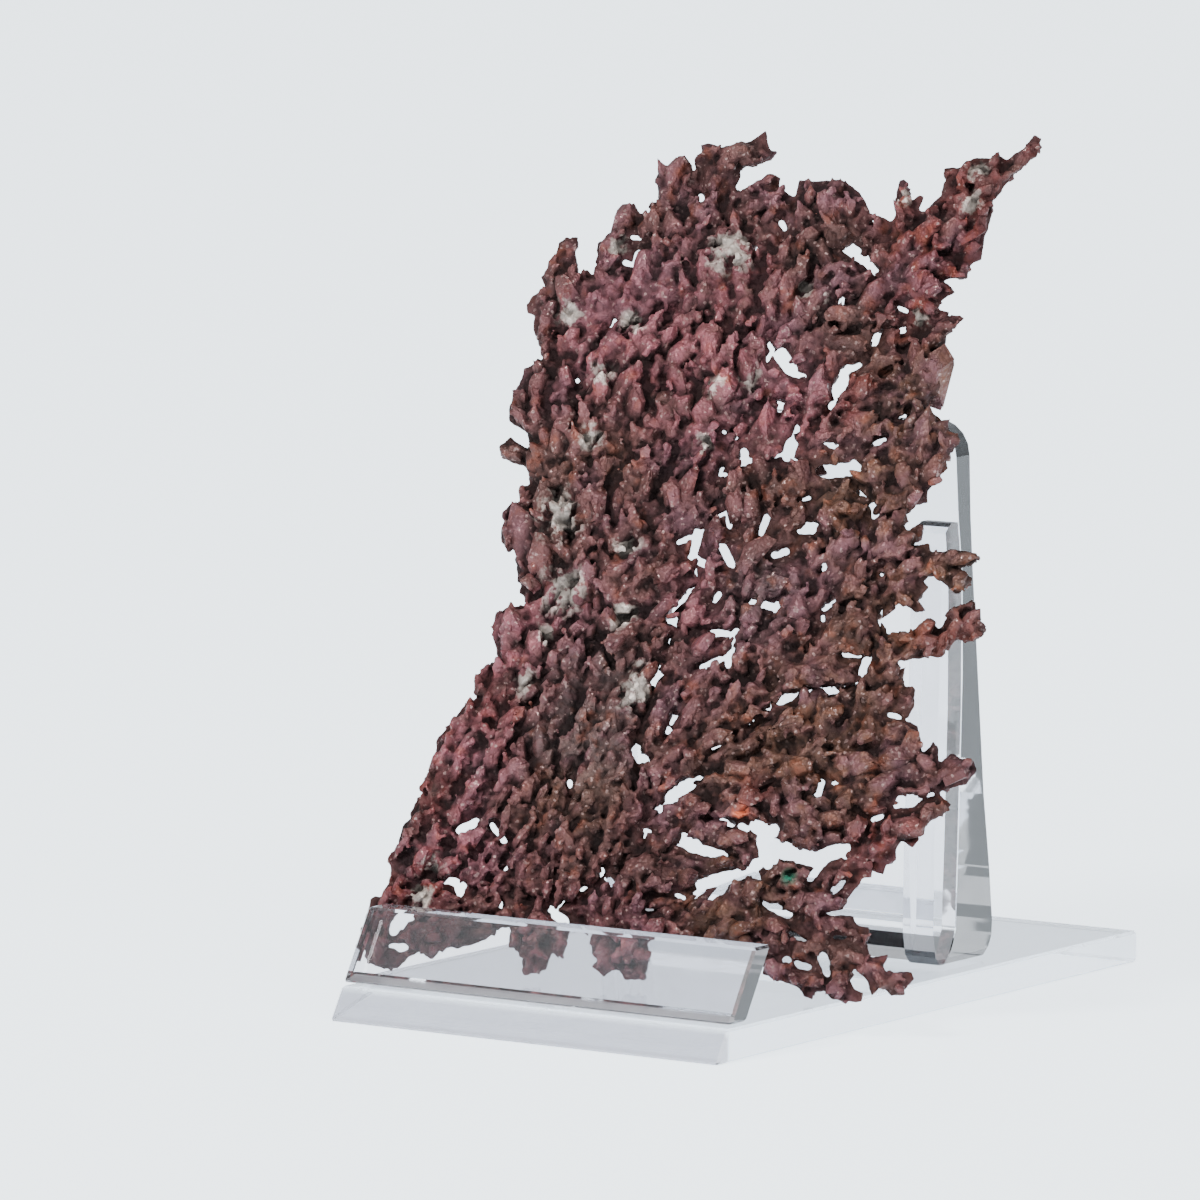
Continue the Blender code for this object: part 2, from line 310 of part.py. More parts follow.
def inside_ring(points, ring):
    """Even-odd test of many points against one closed ring."""
    ring = np.array(ring)
    after = np.roll(ring, -1, axis=0)
    inside = np.zeros(len(points), dtype=bool)
    for (u0, v0), (u1, v1) in zip(ring, after):
        crosses = (v0 > points[:, 1]) != (v1 > points[:, 1])
        if not crosses.any():
            continue
        at = (u1 - u0) * (points[:, 1] - v0) / (v1 - v0 + 1e-30) + u0
        inside ^= crosses & (points[:, 0] < at)
    return inside


def edge_distance(points, starts, ends):
    """Shortest distance of each point to a set of straight edges."""
    best = np.full(len(points), 1e9)
    run = ends - starts
    length = np.maximum((run ** 2).sum(axis=1), 1e-12)
    for low in range(0, len(points), 2000):
        part = points[low:low + 2000]
        off = part[:, None, :] - starts[None, :, :]
        t = np.clip((off * run[None]).sum(axis=2) / length[None], 0, 1)
        gap = off - t[:, :, None] * run[None]
        best[low:low + 2000] = np.sqrt((gap ** 2).sum(axis=2).min(axis=1))
    return best


def ring_edges(rings):
    starts = []
    ends = []
    for ring in rings:
        for a, b in zip(ring, ring[1:] + ring[:1]):
            starts.append(a)
            ends.append(b)
    return np.array(starts), np.array(ends)


def open_plan(outline, rings):
    """A fine grid over the flat shape: which cells are copper, how deep inside, and which way they grew."""
    span_u = np.arange(-5.0, 52.0, PLAN_CELL)
    span_v = np.arange(0.0, 82.5, PLAN_CELL)
    places = np.array(np.meshgrid(span_u, span_v, indexing="ij")).reshape(2, -1).T
    filled = inside_ring(places, outline)
    for ring in rings:
        filled &= ~inside_ring(places, ring)
    starts, ends = ring_edges([outline] + rings)
    depth = np.zeros(len(places))
    depth[filled] = edge_distance(places[filled], starts, ends)
    angle = np.zeros(len(places))
    angle[filled] = growth_angle(places[filled])
    shape = (len(span_u), len(span_v))
    return depth.reshape(shape), angle.reshape(shape)


def cell_at(u, v):
    return int(round((u + 5.0) / PLAN_CELL)), int(round(v / PLAN_CELL))


def walk_row(depth, angle, taken, u, v, way):
    """The places met when walking along the growth from (u, v) until an edge or another row."""
    walked = []
    heading = None
    for _ in range(300):
        i, j = cell_at(u, v)
        if not (0 <= i < depth.shape[0] and 0 <= j < depth.shape[1]):
            break
        if depth[i, j] < 0.3 or taken[i, j]:
            break
        walked.append((u, v))
        step = way * np.array((math.cos(angle[i, j]), math.sin(angle[i, j])))
        if heading is not None and step @ heading < 0:
            step = -step
        heading = step
        u, v = u + 0.3 * step[0], v + 0.3 * step[1]
    return walked


def mark_near(grid, u, v, radius):
    """Mark the cells within a radius of a place."""
    i, j = cell_at(u, v)
    reach = int(radius / PLAN_CELL) + 1
    i0, i1 = max(i - reach, 0), min(i + reach + 1, grid.shape[0])
    j0, j1 = max(j - reach, 0), min(j + reach + 1, grid.shape[1])
    du = (np.arange(i0, i1) - i)[:, None] * PLAN_CELL
    dv = (np.arange(j0, j1) - j)[None, :] * PLAN_CELL
    grid[i0:i1, j0:j1] |= du ** 2 + dv ** 2 <= radius ** 2


def crest_places(outline, rings, rng):
    """Crystal tips in rows along the growth, and the low places between the rows."""
    depth, angle = open_plan(outline, rings)
    seeded = depth < 0.36
    taken = np.zeros(depth.shape, dtype=bool)
    used = depth < 0.36
    tips = []
    cells = np.argwhere(~seeded)
    order = np.argsort(-(np.minimum(depth[cells[:, 0], cells[:, 1]], 1.05) + 0.1 * rng.random(len(cells))))
    for i, j in cells[order]:
        if seeded[i, j]:
            continue
        u, v = i * PLAN_CELL - 5.0, j * PLAN_CELL
        row = walk_row(depth, angle, taken, u, v, -1)[::-1] + walk_row(depth, angle, taken, u, v, 1)[1:]
        seeded[i, j] = True
        for place in row:
            mark_near(seeded, *place, ROW_PITCH * 0.86)
            mark_near(taken, *place, ROW_PITCH * 0.55)
        at = rng.uniform(0, 0.5 * TIP_PITCH) / 0.3
        while at < len(row):
            u, v = row[int(at)]
            if not used[cell_at(u, v)]:
                tips.append((u, v, 1.0))
                mark_near(used, u, v, TIP_CLEAR)
            at += TIP_PITCH * rng.uniform(0.85, 1.15) / 0.3
    cells = np.argwhere(~used)
    far = depth[cells[:, 0], cells[:, 1]] + 0.3 * rng.random(len(cells))
    for i, j in cells[np.argsort(-far)]:
        if not used[i, j]:
            tips.append((i * PLAN_CELL - 5.0, j * PLAN_CELL, 0.0))
            mark_near(used, i * PLAN_CELL - 5.0, j * PLAN_CELL, HOLLOW_CLEAR)
    return np.array(tips)


def lay_out(outline, rings, tips):
    """Triangles of the whole flat shape, with the windows and fork gaps left out."""
    points = [Vector(p) for p in outline]
    edges = [(i, (i + 1) % len(outline)) for i in range(len(outline))]
    for ring in rings:
        base = len(points)
        points += [Vector(p) for p in ring]
        edges += [(base + i, base + (i + 1) % len(ring)) for i in range(len(ring))]
    points += [Vector(p[:2]) for p in tips]
    flat = delaunay_2d_cdt(points, edges, [], 0, 0.02)
    corners = np.array([tuple(p) for p in flat[0]])
    faces = np.array([f for f in flat[2] if len(f) == 3])
    middles = corners[faces].mean(axis=1)
    keep = inside_ring(middles, outline)
    for ring in rings:
        keep &= ~inside_ring(middles, ring)
    a, b, c = corners[faces[:, 0]], corners[faces[:, 1]], corners[faces[:, 2]]
    area = 0.5 * ((b[:, 0] - a[:, 0]) * (c[:, 1] - a[:, 1]) - (b[:, 1] - a[:, 1]) * (c[:, 0] - a[:, 0]))
    keep &= np.abs(area) > 1e-5
    faces = faces[keep]
    area = area[keep]
    faces[area < 0] = faces[area < 0][:, ::-1]
    return corners, faces


def rim_of(faces):
    """The edges that belong to one triangle only, each in the direction its triangle walks it."""
    seen = {}
    for a, b, c in faces:
        for start, end in ((a, b), (b, c), (c, a)):
            seen[(int(start), int(end))] = True
    return [edge for edge in seen if (edge[1], edge[0]) not in seen]


def connected(faces):
    """Groups of triangles joined along whole edges."""
    owner = {}
    for index, face in enumerate(faces):
        for a, b in ((face[0], face[1]), (face[1], face[2]), (face[2], face[0])):
            owner.setdefault((min(a, b), max(a, b)), []).append(index)
    near = {}
    for pair in owner.values():
        if len(pair) == 2:
            near.setdefault(pair[0], []).append(pair[1])
            near.setdefault(pair[1], []).append(pair[0])
    group = -np.ones(len(faces), dtype=int)
    count = 0
    for start in range(len(faces)):
        if group[start] >= 0:
            continue
        group[start] = count
        stack = [start]
        while stack:
            here = stack.pop()
            for other in near.get(here, []):
                if group[other] < 0:
                    group[other] = count
                    stack.append(other)
        count += 1
    return group


def part_at_corners(corners, faces):
    """Open up the places where two corners of the shape only touch at a point."""
    for _ in range(12):
        meeting = {}
        for start, end in rim_of(faces):
            meeting[start] = meeting.get(start, 0) + 1
        pinched = {point for point, count in meeting.items() if count > 1}
        if not pinched:
            return faces
        drop = np.zeros(len(faces), dtype=bool)
        for point in pinched:
            around = np.nonzero((faces == point).any(axis=1))[0]
            groups = connected(faces[around])
            sizes = []
            for g in range(groups.max() + 1):
                own = faces[around[groups == g]]
                a, b, c = corners[own[:, 0]], corners[own[:, 1]], corners[own[:, 2]]
                cross = (b[:, 0] - a[:, 0]) * (c[:, 1] - a[:, 1]) - (b[:, 1] - a[:, 1]) * (c[:, 0] - a[:, 0])
                sizes.append(np.abs(cross).sum())
            for g in range(groups.max() + 1):
                if g != int(np.argmax(sizes)):
                    drop[around[groups == g]] = True
        faces = faces[~drop]
    return faces


def growth_angle(points):
    """The direction in which the crystals have grown, blended between the places where it is known."""
    known = np.array(GROWTH)
    double = np.radians(known[:, 2]) * 2
    gap = ((points[:, None, :] - known[None, :, :2]) ** 2).sum(axis=2) + 0.3
    weight = 1 / gap ** 2
    across = (weight * np.sin(double)[None]).sum(axis=1)
    along = (weight * np.cos(double)[None]).sum(axis=1)
    return 0.5 * np.arctan2(across, along)


def relief(corners, faces, tips, rng):
    """Heights of both sides of every corner: low at the edges, tall at the tips, hollow between rows."""
    rim = np.array(rim_of(faces))
    on_rim = np.zeros(len(corners), dtype=bool)
    on_rim[rim.ravel()] = True
    depth = edge_distance(corners, corners[rim[:, 0]], corners[rim[:, 1]])
    apart = ((corners[:, None, :] - tips[None, :, :2]) ** 2).sum(axis=2)
    nearest = np.argmin(apart, axis=1)
    crest = np.where(apart[np.arange(len(corners)), nearest] < 0.01, tips[nearest, 2], 0.0)
    swell = 0.72 * np.clip(depth / 1.1, 0, 1) ** 0.7 + 0.28 * np.clip(depth / 4.5, 0, 1)
    chance = rng.random(len(corners))
    height = 0.34 + crest * (0.44 + 0.22 * chance) + (1 - crest) * 0.12 * rng.random(len(corners))
    face = RIM_HALF + FACE_RISE * swell * height
    back = RIM_HALF + BACK_RISE * swell * (0.45 + 0.35 * crest + 0.2 * rng.random(len(corners)))
    face[on_rim] = RIM_HALF
    back[on_rim] = RIM_HALF
    return face, back


# Solids and finishes

def solid(name, points, faces, finish):
    """A named closed solid in metres, with its own finish and flat facets."""
    mesh = bpy.data.meshes.new(name)
    mesh.from_pydata([tuple(p) for p in points], [], faces)
    mesh.validate()
    shape = bmesh.new()
    shape.from_mesh(mesh)
    bmesh.ops.recalc_face_normals(shape, faces=shape.faces)
    shape.to_mesh(mesh)
    shape.free()
    item = bpy.data.objects.new(name, mesh)
    bpy.context.scene.collection.objects.link(item)
    mesh.materials.append(finish)
    return item


def ease_edges(item, width):
    """Soften the long cut edges of a clear plate with one narrow bevel."""
    bevel = item.modifiers.new("eased_edges", "BEVEL")
    bevel.width = width * MM
    bevel.segments = 1
    bevel.limit_method = "ANGLE"
    bevel.angle_limit = math.radians(40)
    bpy.context.view_layer.objects.active = item
    bpy.ops.object.modifier_apply(modifier=bevel.name)


def native_copper(name):
    finish = bpy.data.materials.new(name)
    finish.use_nodes = True
    surface = finish.node_tree.nodes["Principled BSDF"]
    surface.inputs["Base Color"].default_value = (0.42, 0.16, 0.085, 1)
    surface.inputs["Metallic"].default_value = 1.0
    surface.inputs["Roughness"].default_value = 0.34
    return finish


def clear_acrylic(name):
    finish = bpy.data.materials.new(name)
    finish.use_nodes = True
    surface = finish.node_tree.nodes["Principled BSDF"]
    surface.inputs["Base Color"].default_value = (0.97, 0.98, 0.98, 1)
    surface.inputs["Roughness"].default_value = 0.03
    surface.inputs["IOR"].default_value = 1.49
    surface.inputs["Transmission Weight"].default_value = 1.0
    return finish


# The stand

def prism(profile, x0, x1):
    """A (y, z) profile carried straight across the stand."""
    count = len(profile)
    points = [stand_point(x0, y, z) for y, z in profile] + [stand_point(x1, y, z) for y, z in profile]
    faces = [tuple(range(count)), tuple(range(2 * count - 1, count - 1, -1))]
    for i in range(count):
        j = (i + 1) % count
        faces.append((i, i + count, j + count, j))
    return points, faces


def build_base_plate():
    set_back = BASE_THICK * math.tan(math.radians(LIP_LEAN_DEG))
    profile = [(0, 0), (BASE_DEPTH, 0), (BASE_DEPTH, BASE_THICK), (set_back, BASE_THICK)]
    points, faces = prism(profile, 0, BASE_WIDTH)
    item = solid("base_plate", points, faces, clear_acrylic("base_acrylic"))
    ease_edges(item, EDGE_EASE)


def build_front_lip():
    slope = math.tan(math.radians(LIP_LEAN_DEG))
    across = LIP_THICK / math.cos(math.radians(LIP_LEAN_DEG))
    low = BASE_THICK + TOUCH_GAP
    profile = [(low * slope, low), (low * slope + across, low),
               (LIP_TOP * slope + across, LIP_TOP), (LIP_TOP * slope, LIP_TOP)]
    points, faces = prism(profile, 0, BASE_WIDTH)
    item = solid("front_lip", points, faces, clear_acrylic("lip_acrylic"))
    ease_edges(item, EDGE_EASE)


REST_PROFILE = [
    (3.2, 40.6, 46.9), (3.9, 41.3, 47.8), (4.8, 41.9, 48.3), (6.2, 42.4, 48.4), (10.9, 42.6, 47.9),
    (17.7, 42.9, 46.9), (29.0, 43.3, 45.8), (38.0, 43.2, 44.9), (43.0, 42.5, 44.5), (48.3, 42.1, 44.3),
]


def build_back_rest():
    """A tapering plate, thick and rounded at its heel, thin at the top, with rounded upper corners."""
    levels = [(z, REST_LEFT, REST_RIGHT, front, rear) for z, front, rear in REST_PROFILE]
    for turn in (20, 40, 60, 75, 90):
        inset = REST_CORNER * (1 - math.cos(math.radians(turn)))
        z = REST_TOP - REST_CORNER + REST_CORNER * math.sin(math.radians(turn))
        pinch = 0.5 * (1 if turn == 90 else 0)
        levels.append((z, REST_LEFT + inset, REST_RIGHT - inset, 42.1 + pinch, 44.3 - pinch))
    stack_levels("back_rest", levels, "rest_acrylic")


def stack_levels(name, levels, finish):
    points = []
    faces = [(3, 2, 1, 0)]
    for z, left, right, front, rear in levels:
        points += [stand_point(left, front, z), stand_point(right, front, z),
                   stand_point(right, rear, z), stand_point(left, rear, z)]
    for k in range(len(levels) - 1):
        low = 4 * k
        for i in range(4):
            j = (i + 1) % 4
            faces.append((low + i, low + j, low + j + 4, low + i + 4))
    top = 4 * (len(levels) - 1)
    faces.append((top, top + 1, top + 2, top + 3))
    item = solid(name, points, faces, clear_acrylic(finish))
    return item


def rest_front(z):
    heights = [level[0] for level in REST_PROFILE]
    fronts = [level[1] for level in REST_PROFILE]
    return float(np.interp(z, heights, fronts))


def build_rib(name, left, finish):
    """A narrow strip standing in front of the rest, curved over at the top and drawn back at its foot."""
    levels = []
    for z, front in ((3.2, 39.6), (4.0, 38.9), (6.0, 38.5), (14.0, 38.6), (26.0, 39.2), (36.0, 39.6),
                     (40.6, 39.7), (41.6, 40.1), (42.2, 40.7), (RIB_TOP, 41.3)):
        levels.append((z, left, left + RIB_WIDTH, front, rest_front(z) - TOUCH_GAP))
    stack_levels(name, levels, finish)


# The copper

def build_copper():
    rng = np.random.default_rng(SEED)
    outline = [set_down(u, v) for u, v in EDGE]
    rings = openings()
    tips = crest_places(outline, rings, rng)
    corners, faces = lay_out(outline, rings, tips)
    group = connected(faces)
    middles = corners[faces].mean(axis=1)
    for name, place in DIVISIONS.items():
        nearest = int(np.argmin(((middles - np.array(place)) ** 2).sum(axis=1)))
        own = part_at_corners(corners, faces[group == group[nearest]])
        size = np.bincount(connected(own)).argmax()
        own = own[connected(own) == size]
        build_division(name, corners, own, tips, rng)


def build_division(name, corners, faces, tips, rng):
    """One division of the plate: faceted front and back joined by a low wall round every edge."""
    used = np.unique(faces)
    renumber = -np.ones(len(corners), dtype=int)
    renumber[used] = np.arange(len(used))
    faces = renumber[faces]
    corners = corners[used]
    face_rise, back_rise = relief(corners, faces, tips, rng)
    count = len(corners)
    points = [plate_point(u, v, n) for (u, v), n in zip(corners, face_rise)]
    points += [plate_point(u, v, -n) for (u, v), n in zip(corners, back_rise)]
    solids = [(int(a), int(b), int(c)) for a, b, c in faces]
    solids += [(int(c) + count, int(b) + count, int(a) + count) for a, b, c in faces]
    for a, b in rim_of(faces):
        solids.append((b, a, a + count))
        solids.append((b, a + count, b + count))
    solid(name, points, solids, native_copper(name + "_metal"))


clear_scene()
build_base_plate()
build_front_lip()
build_back_rest()
build_rib("rib_right", REST_RIGHT - RIB_WIDTH + 0.1, "right_rib_acrylic")
build_rib("rib_left", REST_LEFT - 0.1, "left_rib_acrylic")
build_copper()
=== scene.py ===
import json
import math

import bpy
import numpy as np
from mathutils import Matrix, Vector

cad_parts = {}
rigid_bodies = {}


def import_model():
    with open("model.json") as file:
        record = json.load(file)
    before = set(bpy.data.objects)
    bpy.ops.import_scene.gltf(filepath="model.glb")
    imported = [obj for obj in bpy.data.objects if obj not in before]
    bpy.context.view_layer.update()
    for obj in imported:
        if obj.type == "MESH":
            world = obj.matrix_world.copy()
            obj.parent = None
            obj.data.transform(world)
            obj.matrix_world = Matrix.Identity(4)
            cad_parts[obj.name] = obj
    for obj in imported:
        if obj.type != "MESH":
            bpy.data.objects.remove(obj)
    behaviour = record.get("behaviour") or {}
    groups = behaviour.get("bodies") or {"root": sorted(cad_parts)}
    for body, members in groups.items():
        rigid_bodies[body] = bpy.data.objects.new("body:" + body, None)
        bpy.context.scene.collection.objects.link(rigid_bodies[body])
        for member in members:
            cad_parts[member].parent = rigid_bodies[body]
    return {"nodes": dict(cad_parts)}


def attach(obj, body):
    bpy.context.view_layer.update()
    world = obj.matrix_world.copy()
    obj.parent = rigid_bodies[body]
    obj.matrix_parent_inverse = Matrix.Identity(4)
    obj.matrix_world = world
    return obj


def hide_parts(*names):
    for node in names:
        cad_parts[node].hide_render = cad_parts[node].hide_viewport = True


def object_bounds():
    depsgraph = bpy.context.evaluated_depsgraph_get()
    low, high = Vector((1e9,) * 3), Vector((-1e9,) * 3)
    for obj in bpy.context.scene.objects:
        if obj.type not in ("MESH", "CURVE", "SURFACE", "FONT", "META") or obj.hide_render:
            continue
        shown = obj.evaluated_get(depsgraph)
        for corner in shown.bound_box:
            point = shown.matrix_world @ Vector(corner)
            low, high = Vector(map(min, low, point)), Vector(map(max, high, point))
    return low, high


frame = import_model()
first_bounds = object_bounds()

# %% [markdown]
# ## A plate of native copper on its stand
# Native copper grows as metal, out of hot water that moves through cracks in the rock. In a thin
# crack the crystals can only spread sideways, so they build a flat plate of branches. Each branch
# is a row of small blunt crystals, each one grown on the shoulder of the last. The CAD solids hold
# the plate's outline, its windows and its thickness. Here every solid is dressed with its own
# crystals, because the rows are what the eye sees first.

MM = 0.001
DICE = np.random.default_rng(41)


def deselect_all():
    for item in bpy.context.selected_objects:
        item.select_set(False)


def to_linear(code):
    """An sRGB hex colour as the linear numbers that a shader needs."""
    parts = [int(code[i:i + 2], 16) / 255 for i in (1, 3, 5)]
    return [c / 12.92 if c <= 0.04045 else ((c + 0.055) / 1.055) ** 2.4 for c in parts] + [1.0]


def add_node(tree, kind, links=None, **settings):
    """Add one shader node, set its numbers and join its inputs."""
    node = tree.nodes.new(kind)
    for key, value in settings.items():
        setattr(node, key, value)
    for socket, source in (links or {}).items():
        if hasattr(source, "is_output"):
            tree.links.new(source, node.inputs[socket])
        else:
            node.inputs[socket].default_value = source
    return node


def new_material(name):
    material = bpy.data.materials.new(name)
    material.use_nodes = True
    return material, material.node_tree, material.node_tree.nodes["Principled BSDF"]


print("parts in the frame:", len(frame["nodes"]))

# %% [markdown]
# ## The plane that the plate grew in
# Everything on the plate is easiest to place in its own plane: u along its foot, v up its face, n
# out of it. The edges of the solids slope a little, so that the windows stay open when seen from
# the front right. The same slope is used here, so a crystal laid out on the plan lands on the solid
# under it.

# %% Plane of the plate
FOOT = Vector((1.0 - 20.5, 8.2 - 34.25, 2.9))
YAW = math.radians(13.2)
LEAN = math.radians(25.5)
SLOPE_U, SLOPE_V = 0.411, -0.329
ALONG = np.array((math.cos(YAW), math.sin(YAW), 0.0))
BACK = np.array((-math.sin(YAW), math.cos(YAW), 0.0))
RISE = math.cos(LEAN) * np.array((0, 0, 1.0)) + math.sin(LEAN) * BACK
OUT = math.sin(LEAN) * np.array((0, 0, 1.0)) - math.cos(LEAN) * BACK
AXES = np.array((ALONG, RISE, OUT))
print("the plate leans", round(math.degrees(LEAN), 1), "degrees back and is turned",
      round(math.degrees(YAW), 1))


def to_plan(points):
    """World points in metres as plan places (u, v) and heights n, all in millimetres."""
    local = (points / MM - np.array(FOOT)) @ AXES.T
    local[:, 0] -= SLOPE_U * local[:, 2]
    local[:, 1] -= SLOPE_V * local[:, 2]
    return local


def from_plan(places):
    """The reverse: plan places and heights as world points in metres."""
    local = np.array(places, dtype=float)
    local[:, 0] += SLOPE_U * local[:, 2]
    local[:, 1] += SLOPE_V * local[:, 2]
    return (local @ AXES + np.array(FOOT)) * MM


# %% [markdown]
# ## A map of the solids
# A miner's section of a vein is drawn on squared paper. The plate is read in the same way, on
# squares of 0.2 mm. Each square keeps the heights of the front and back of the solid over it, and
# which branch it belongs to. With the map it is quick to ask, anywhere on the plate, how thick the
# copper is and how far the next edge is.

# %% Read the solids on a fine plan grid
CELL = 0.2
LOW_U, LOW_V = -6.0, -1.0
WIDE, TALL = 300, 425
NO_AREA = 1e-4
COPPER = sorted(name for name in frame["nodes"] if name.startswith("copper_"))


def triangles_of(name):
    mesh = bpy.data.objects[name].data
    mesh.calc_loop_triangles()
    points = np.empty(len(mesh.vertices) * 3)
    mesh.vertices.foreach_get("co", points)
    corners = np.empty(len(mesh.loop_triangles) * 3, dtype=np.int32)
    mesh.loop_triangles.foreach_get("vertices", corners)
    return to_plan(points.reshape(-1, 3)), corners.reshape(-1, 3)


def drop_on_grid(places, triangles, front, back, owner, number):
    """Write each triangle's height into the squares of the map that it covers."""
    for a, b, c in places[triangles]:
        cross = (b[0] - a[0]) * (c[1] - a[1]) - (b[1] - a[1]) * (c[0] - a[0])
        if abs(cross) < NO_AREA:
            continue
        i0 = int((min(a[0], b[0], c[0]) - LOW_U) / CELL)
        i1 = int((max(a[0], b[0], c[0]) - LOW_U) / CELL) + 1
        j0 = int((min(a[1], b[1], c[1]) - LOW_V) / CELL)
        j1 = int((max(a[1], b[1], c[1]) - LOW_V) / CELL) + 1
        u = LOW_U + (np.arange(i0, i1 + 1) + 0.5)[:, None] * CELL
        v = LOW_V + (np.arange(j0, j1 + 1) + 0.5)[None, :] * CELL
        s = ((b[1] - c[1]) * (u - c[0]) + (c[0] - b[0]) * (v - c[1])) / cross
        t = ((c[1] - a[1]) * (u - c[0]) + (a[0] - c[0]) * (v - c[1])) / cross
        inside = (s >= -1e-6) & (t >= -1e-6) & (s + t <= 1 + 1e-6)
        height = s * a[2] + t * b[2] + (1 - s - t) * c[2]
        target = front if cross > 0 else back
        cells = target[i0:i1 + 1, j0:j1 + 1]
        cells[inside] = height[inside]
        owner[i0:i1 + 1, j0:j1 + 1][inside] = number


front = np.zeros((WIDE, TALL))
back = np.zeros((WIDE, TALL))
owner = -np.ones((WIDE, TALL), dtype=int)
for number, name in enumerate(COPPER):
    places, triangles = triangles_of(name)
    drop_on_grid(places, triangles, front, back, owner, number)


def spread(grid, steps):
    """Grow the filled cells of a grid by a number of cells."""
    grown = grid.copy()
    for _ in range(steps):
        wider = grown.copy()
        wider[1:] |= grown[:-1]
        wider[:-1] |= grown[1:]
        wider[:, 1:] |= grown[:, :-1]
        wider[:, :-1] |= grown[:, 1:]
        grown = wider
    return grown


# The narrow cuts at the forks are closed on the plan, so that the rows run across them
CUT_CELLS = 2
near_count = sum(spread(owner == k, CUT_CELLS).astype(int) for k in range(len(COPPER)))
solid_plan = (owner >= 0) | (near_count >= 2)


def depth_inside(filled, most=14):
    """How far each filled cell is from the nearest empty one, in cells."""
    column = np.where(filled, float(most), 0.0)
    for k in range(1, most):
        for shift in (k, -k):
            moved = np.roll(filled, shift, axis=1)
            column = np.where(filled & ~moved, np.minimum(column, k), column)
    best = column ** 2
    for k in range(1, most):
        for shift in (k, -k):
            best = np.minimum(best, np.roll(column, shift, axis=0) ** 2 + k * k)
    return np.sqrt(best) * filled


depth = depth_inside(solid_plan) * CELL

CREST_CELLS = 5
HIGHEST_OVER_SKIN = 0.9


def crest_level(height, cells):
    """The level of the nearby crests: the highest value within a few cells, then smoothed."""
    best = height.copy()
    for _ in range(cells):
        for axis in (0, 1):
            beside = np.maximum(np.roll(best, 1, axis=axis), np.roll(best, -1, axis=axis))
            best = np.maximum(best, beside)
    for _ in range(3):
        for axis in (0, 1):
            best = (best + np.roll(best, 1, axis=axis) + np.roll(best, -1, axis=axis)) / 3
    return np.minimum(best, height + HIGHEST_OVER_SKIN)


front_crest = crest_level(front, CREST_CELLS)
back_crest = crest_level(-back, CREST_CELLS)
print("copper covers", round(float(solid_plan.sum()) * CELL * CELL), "square mm of the plan")
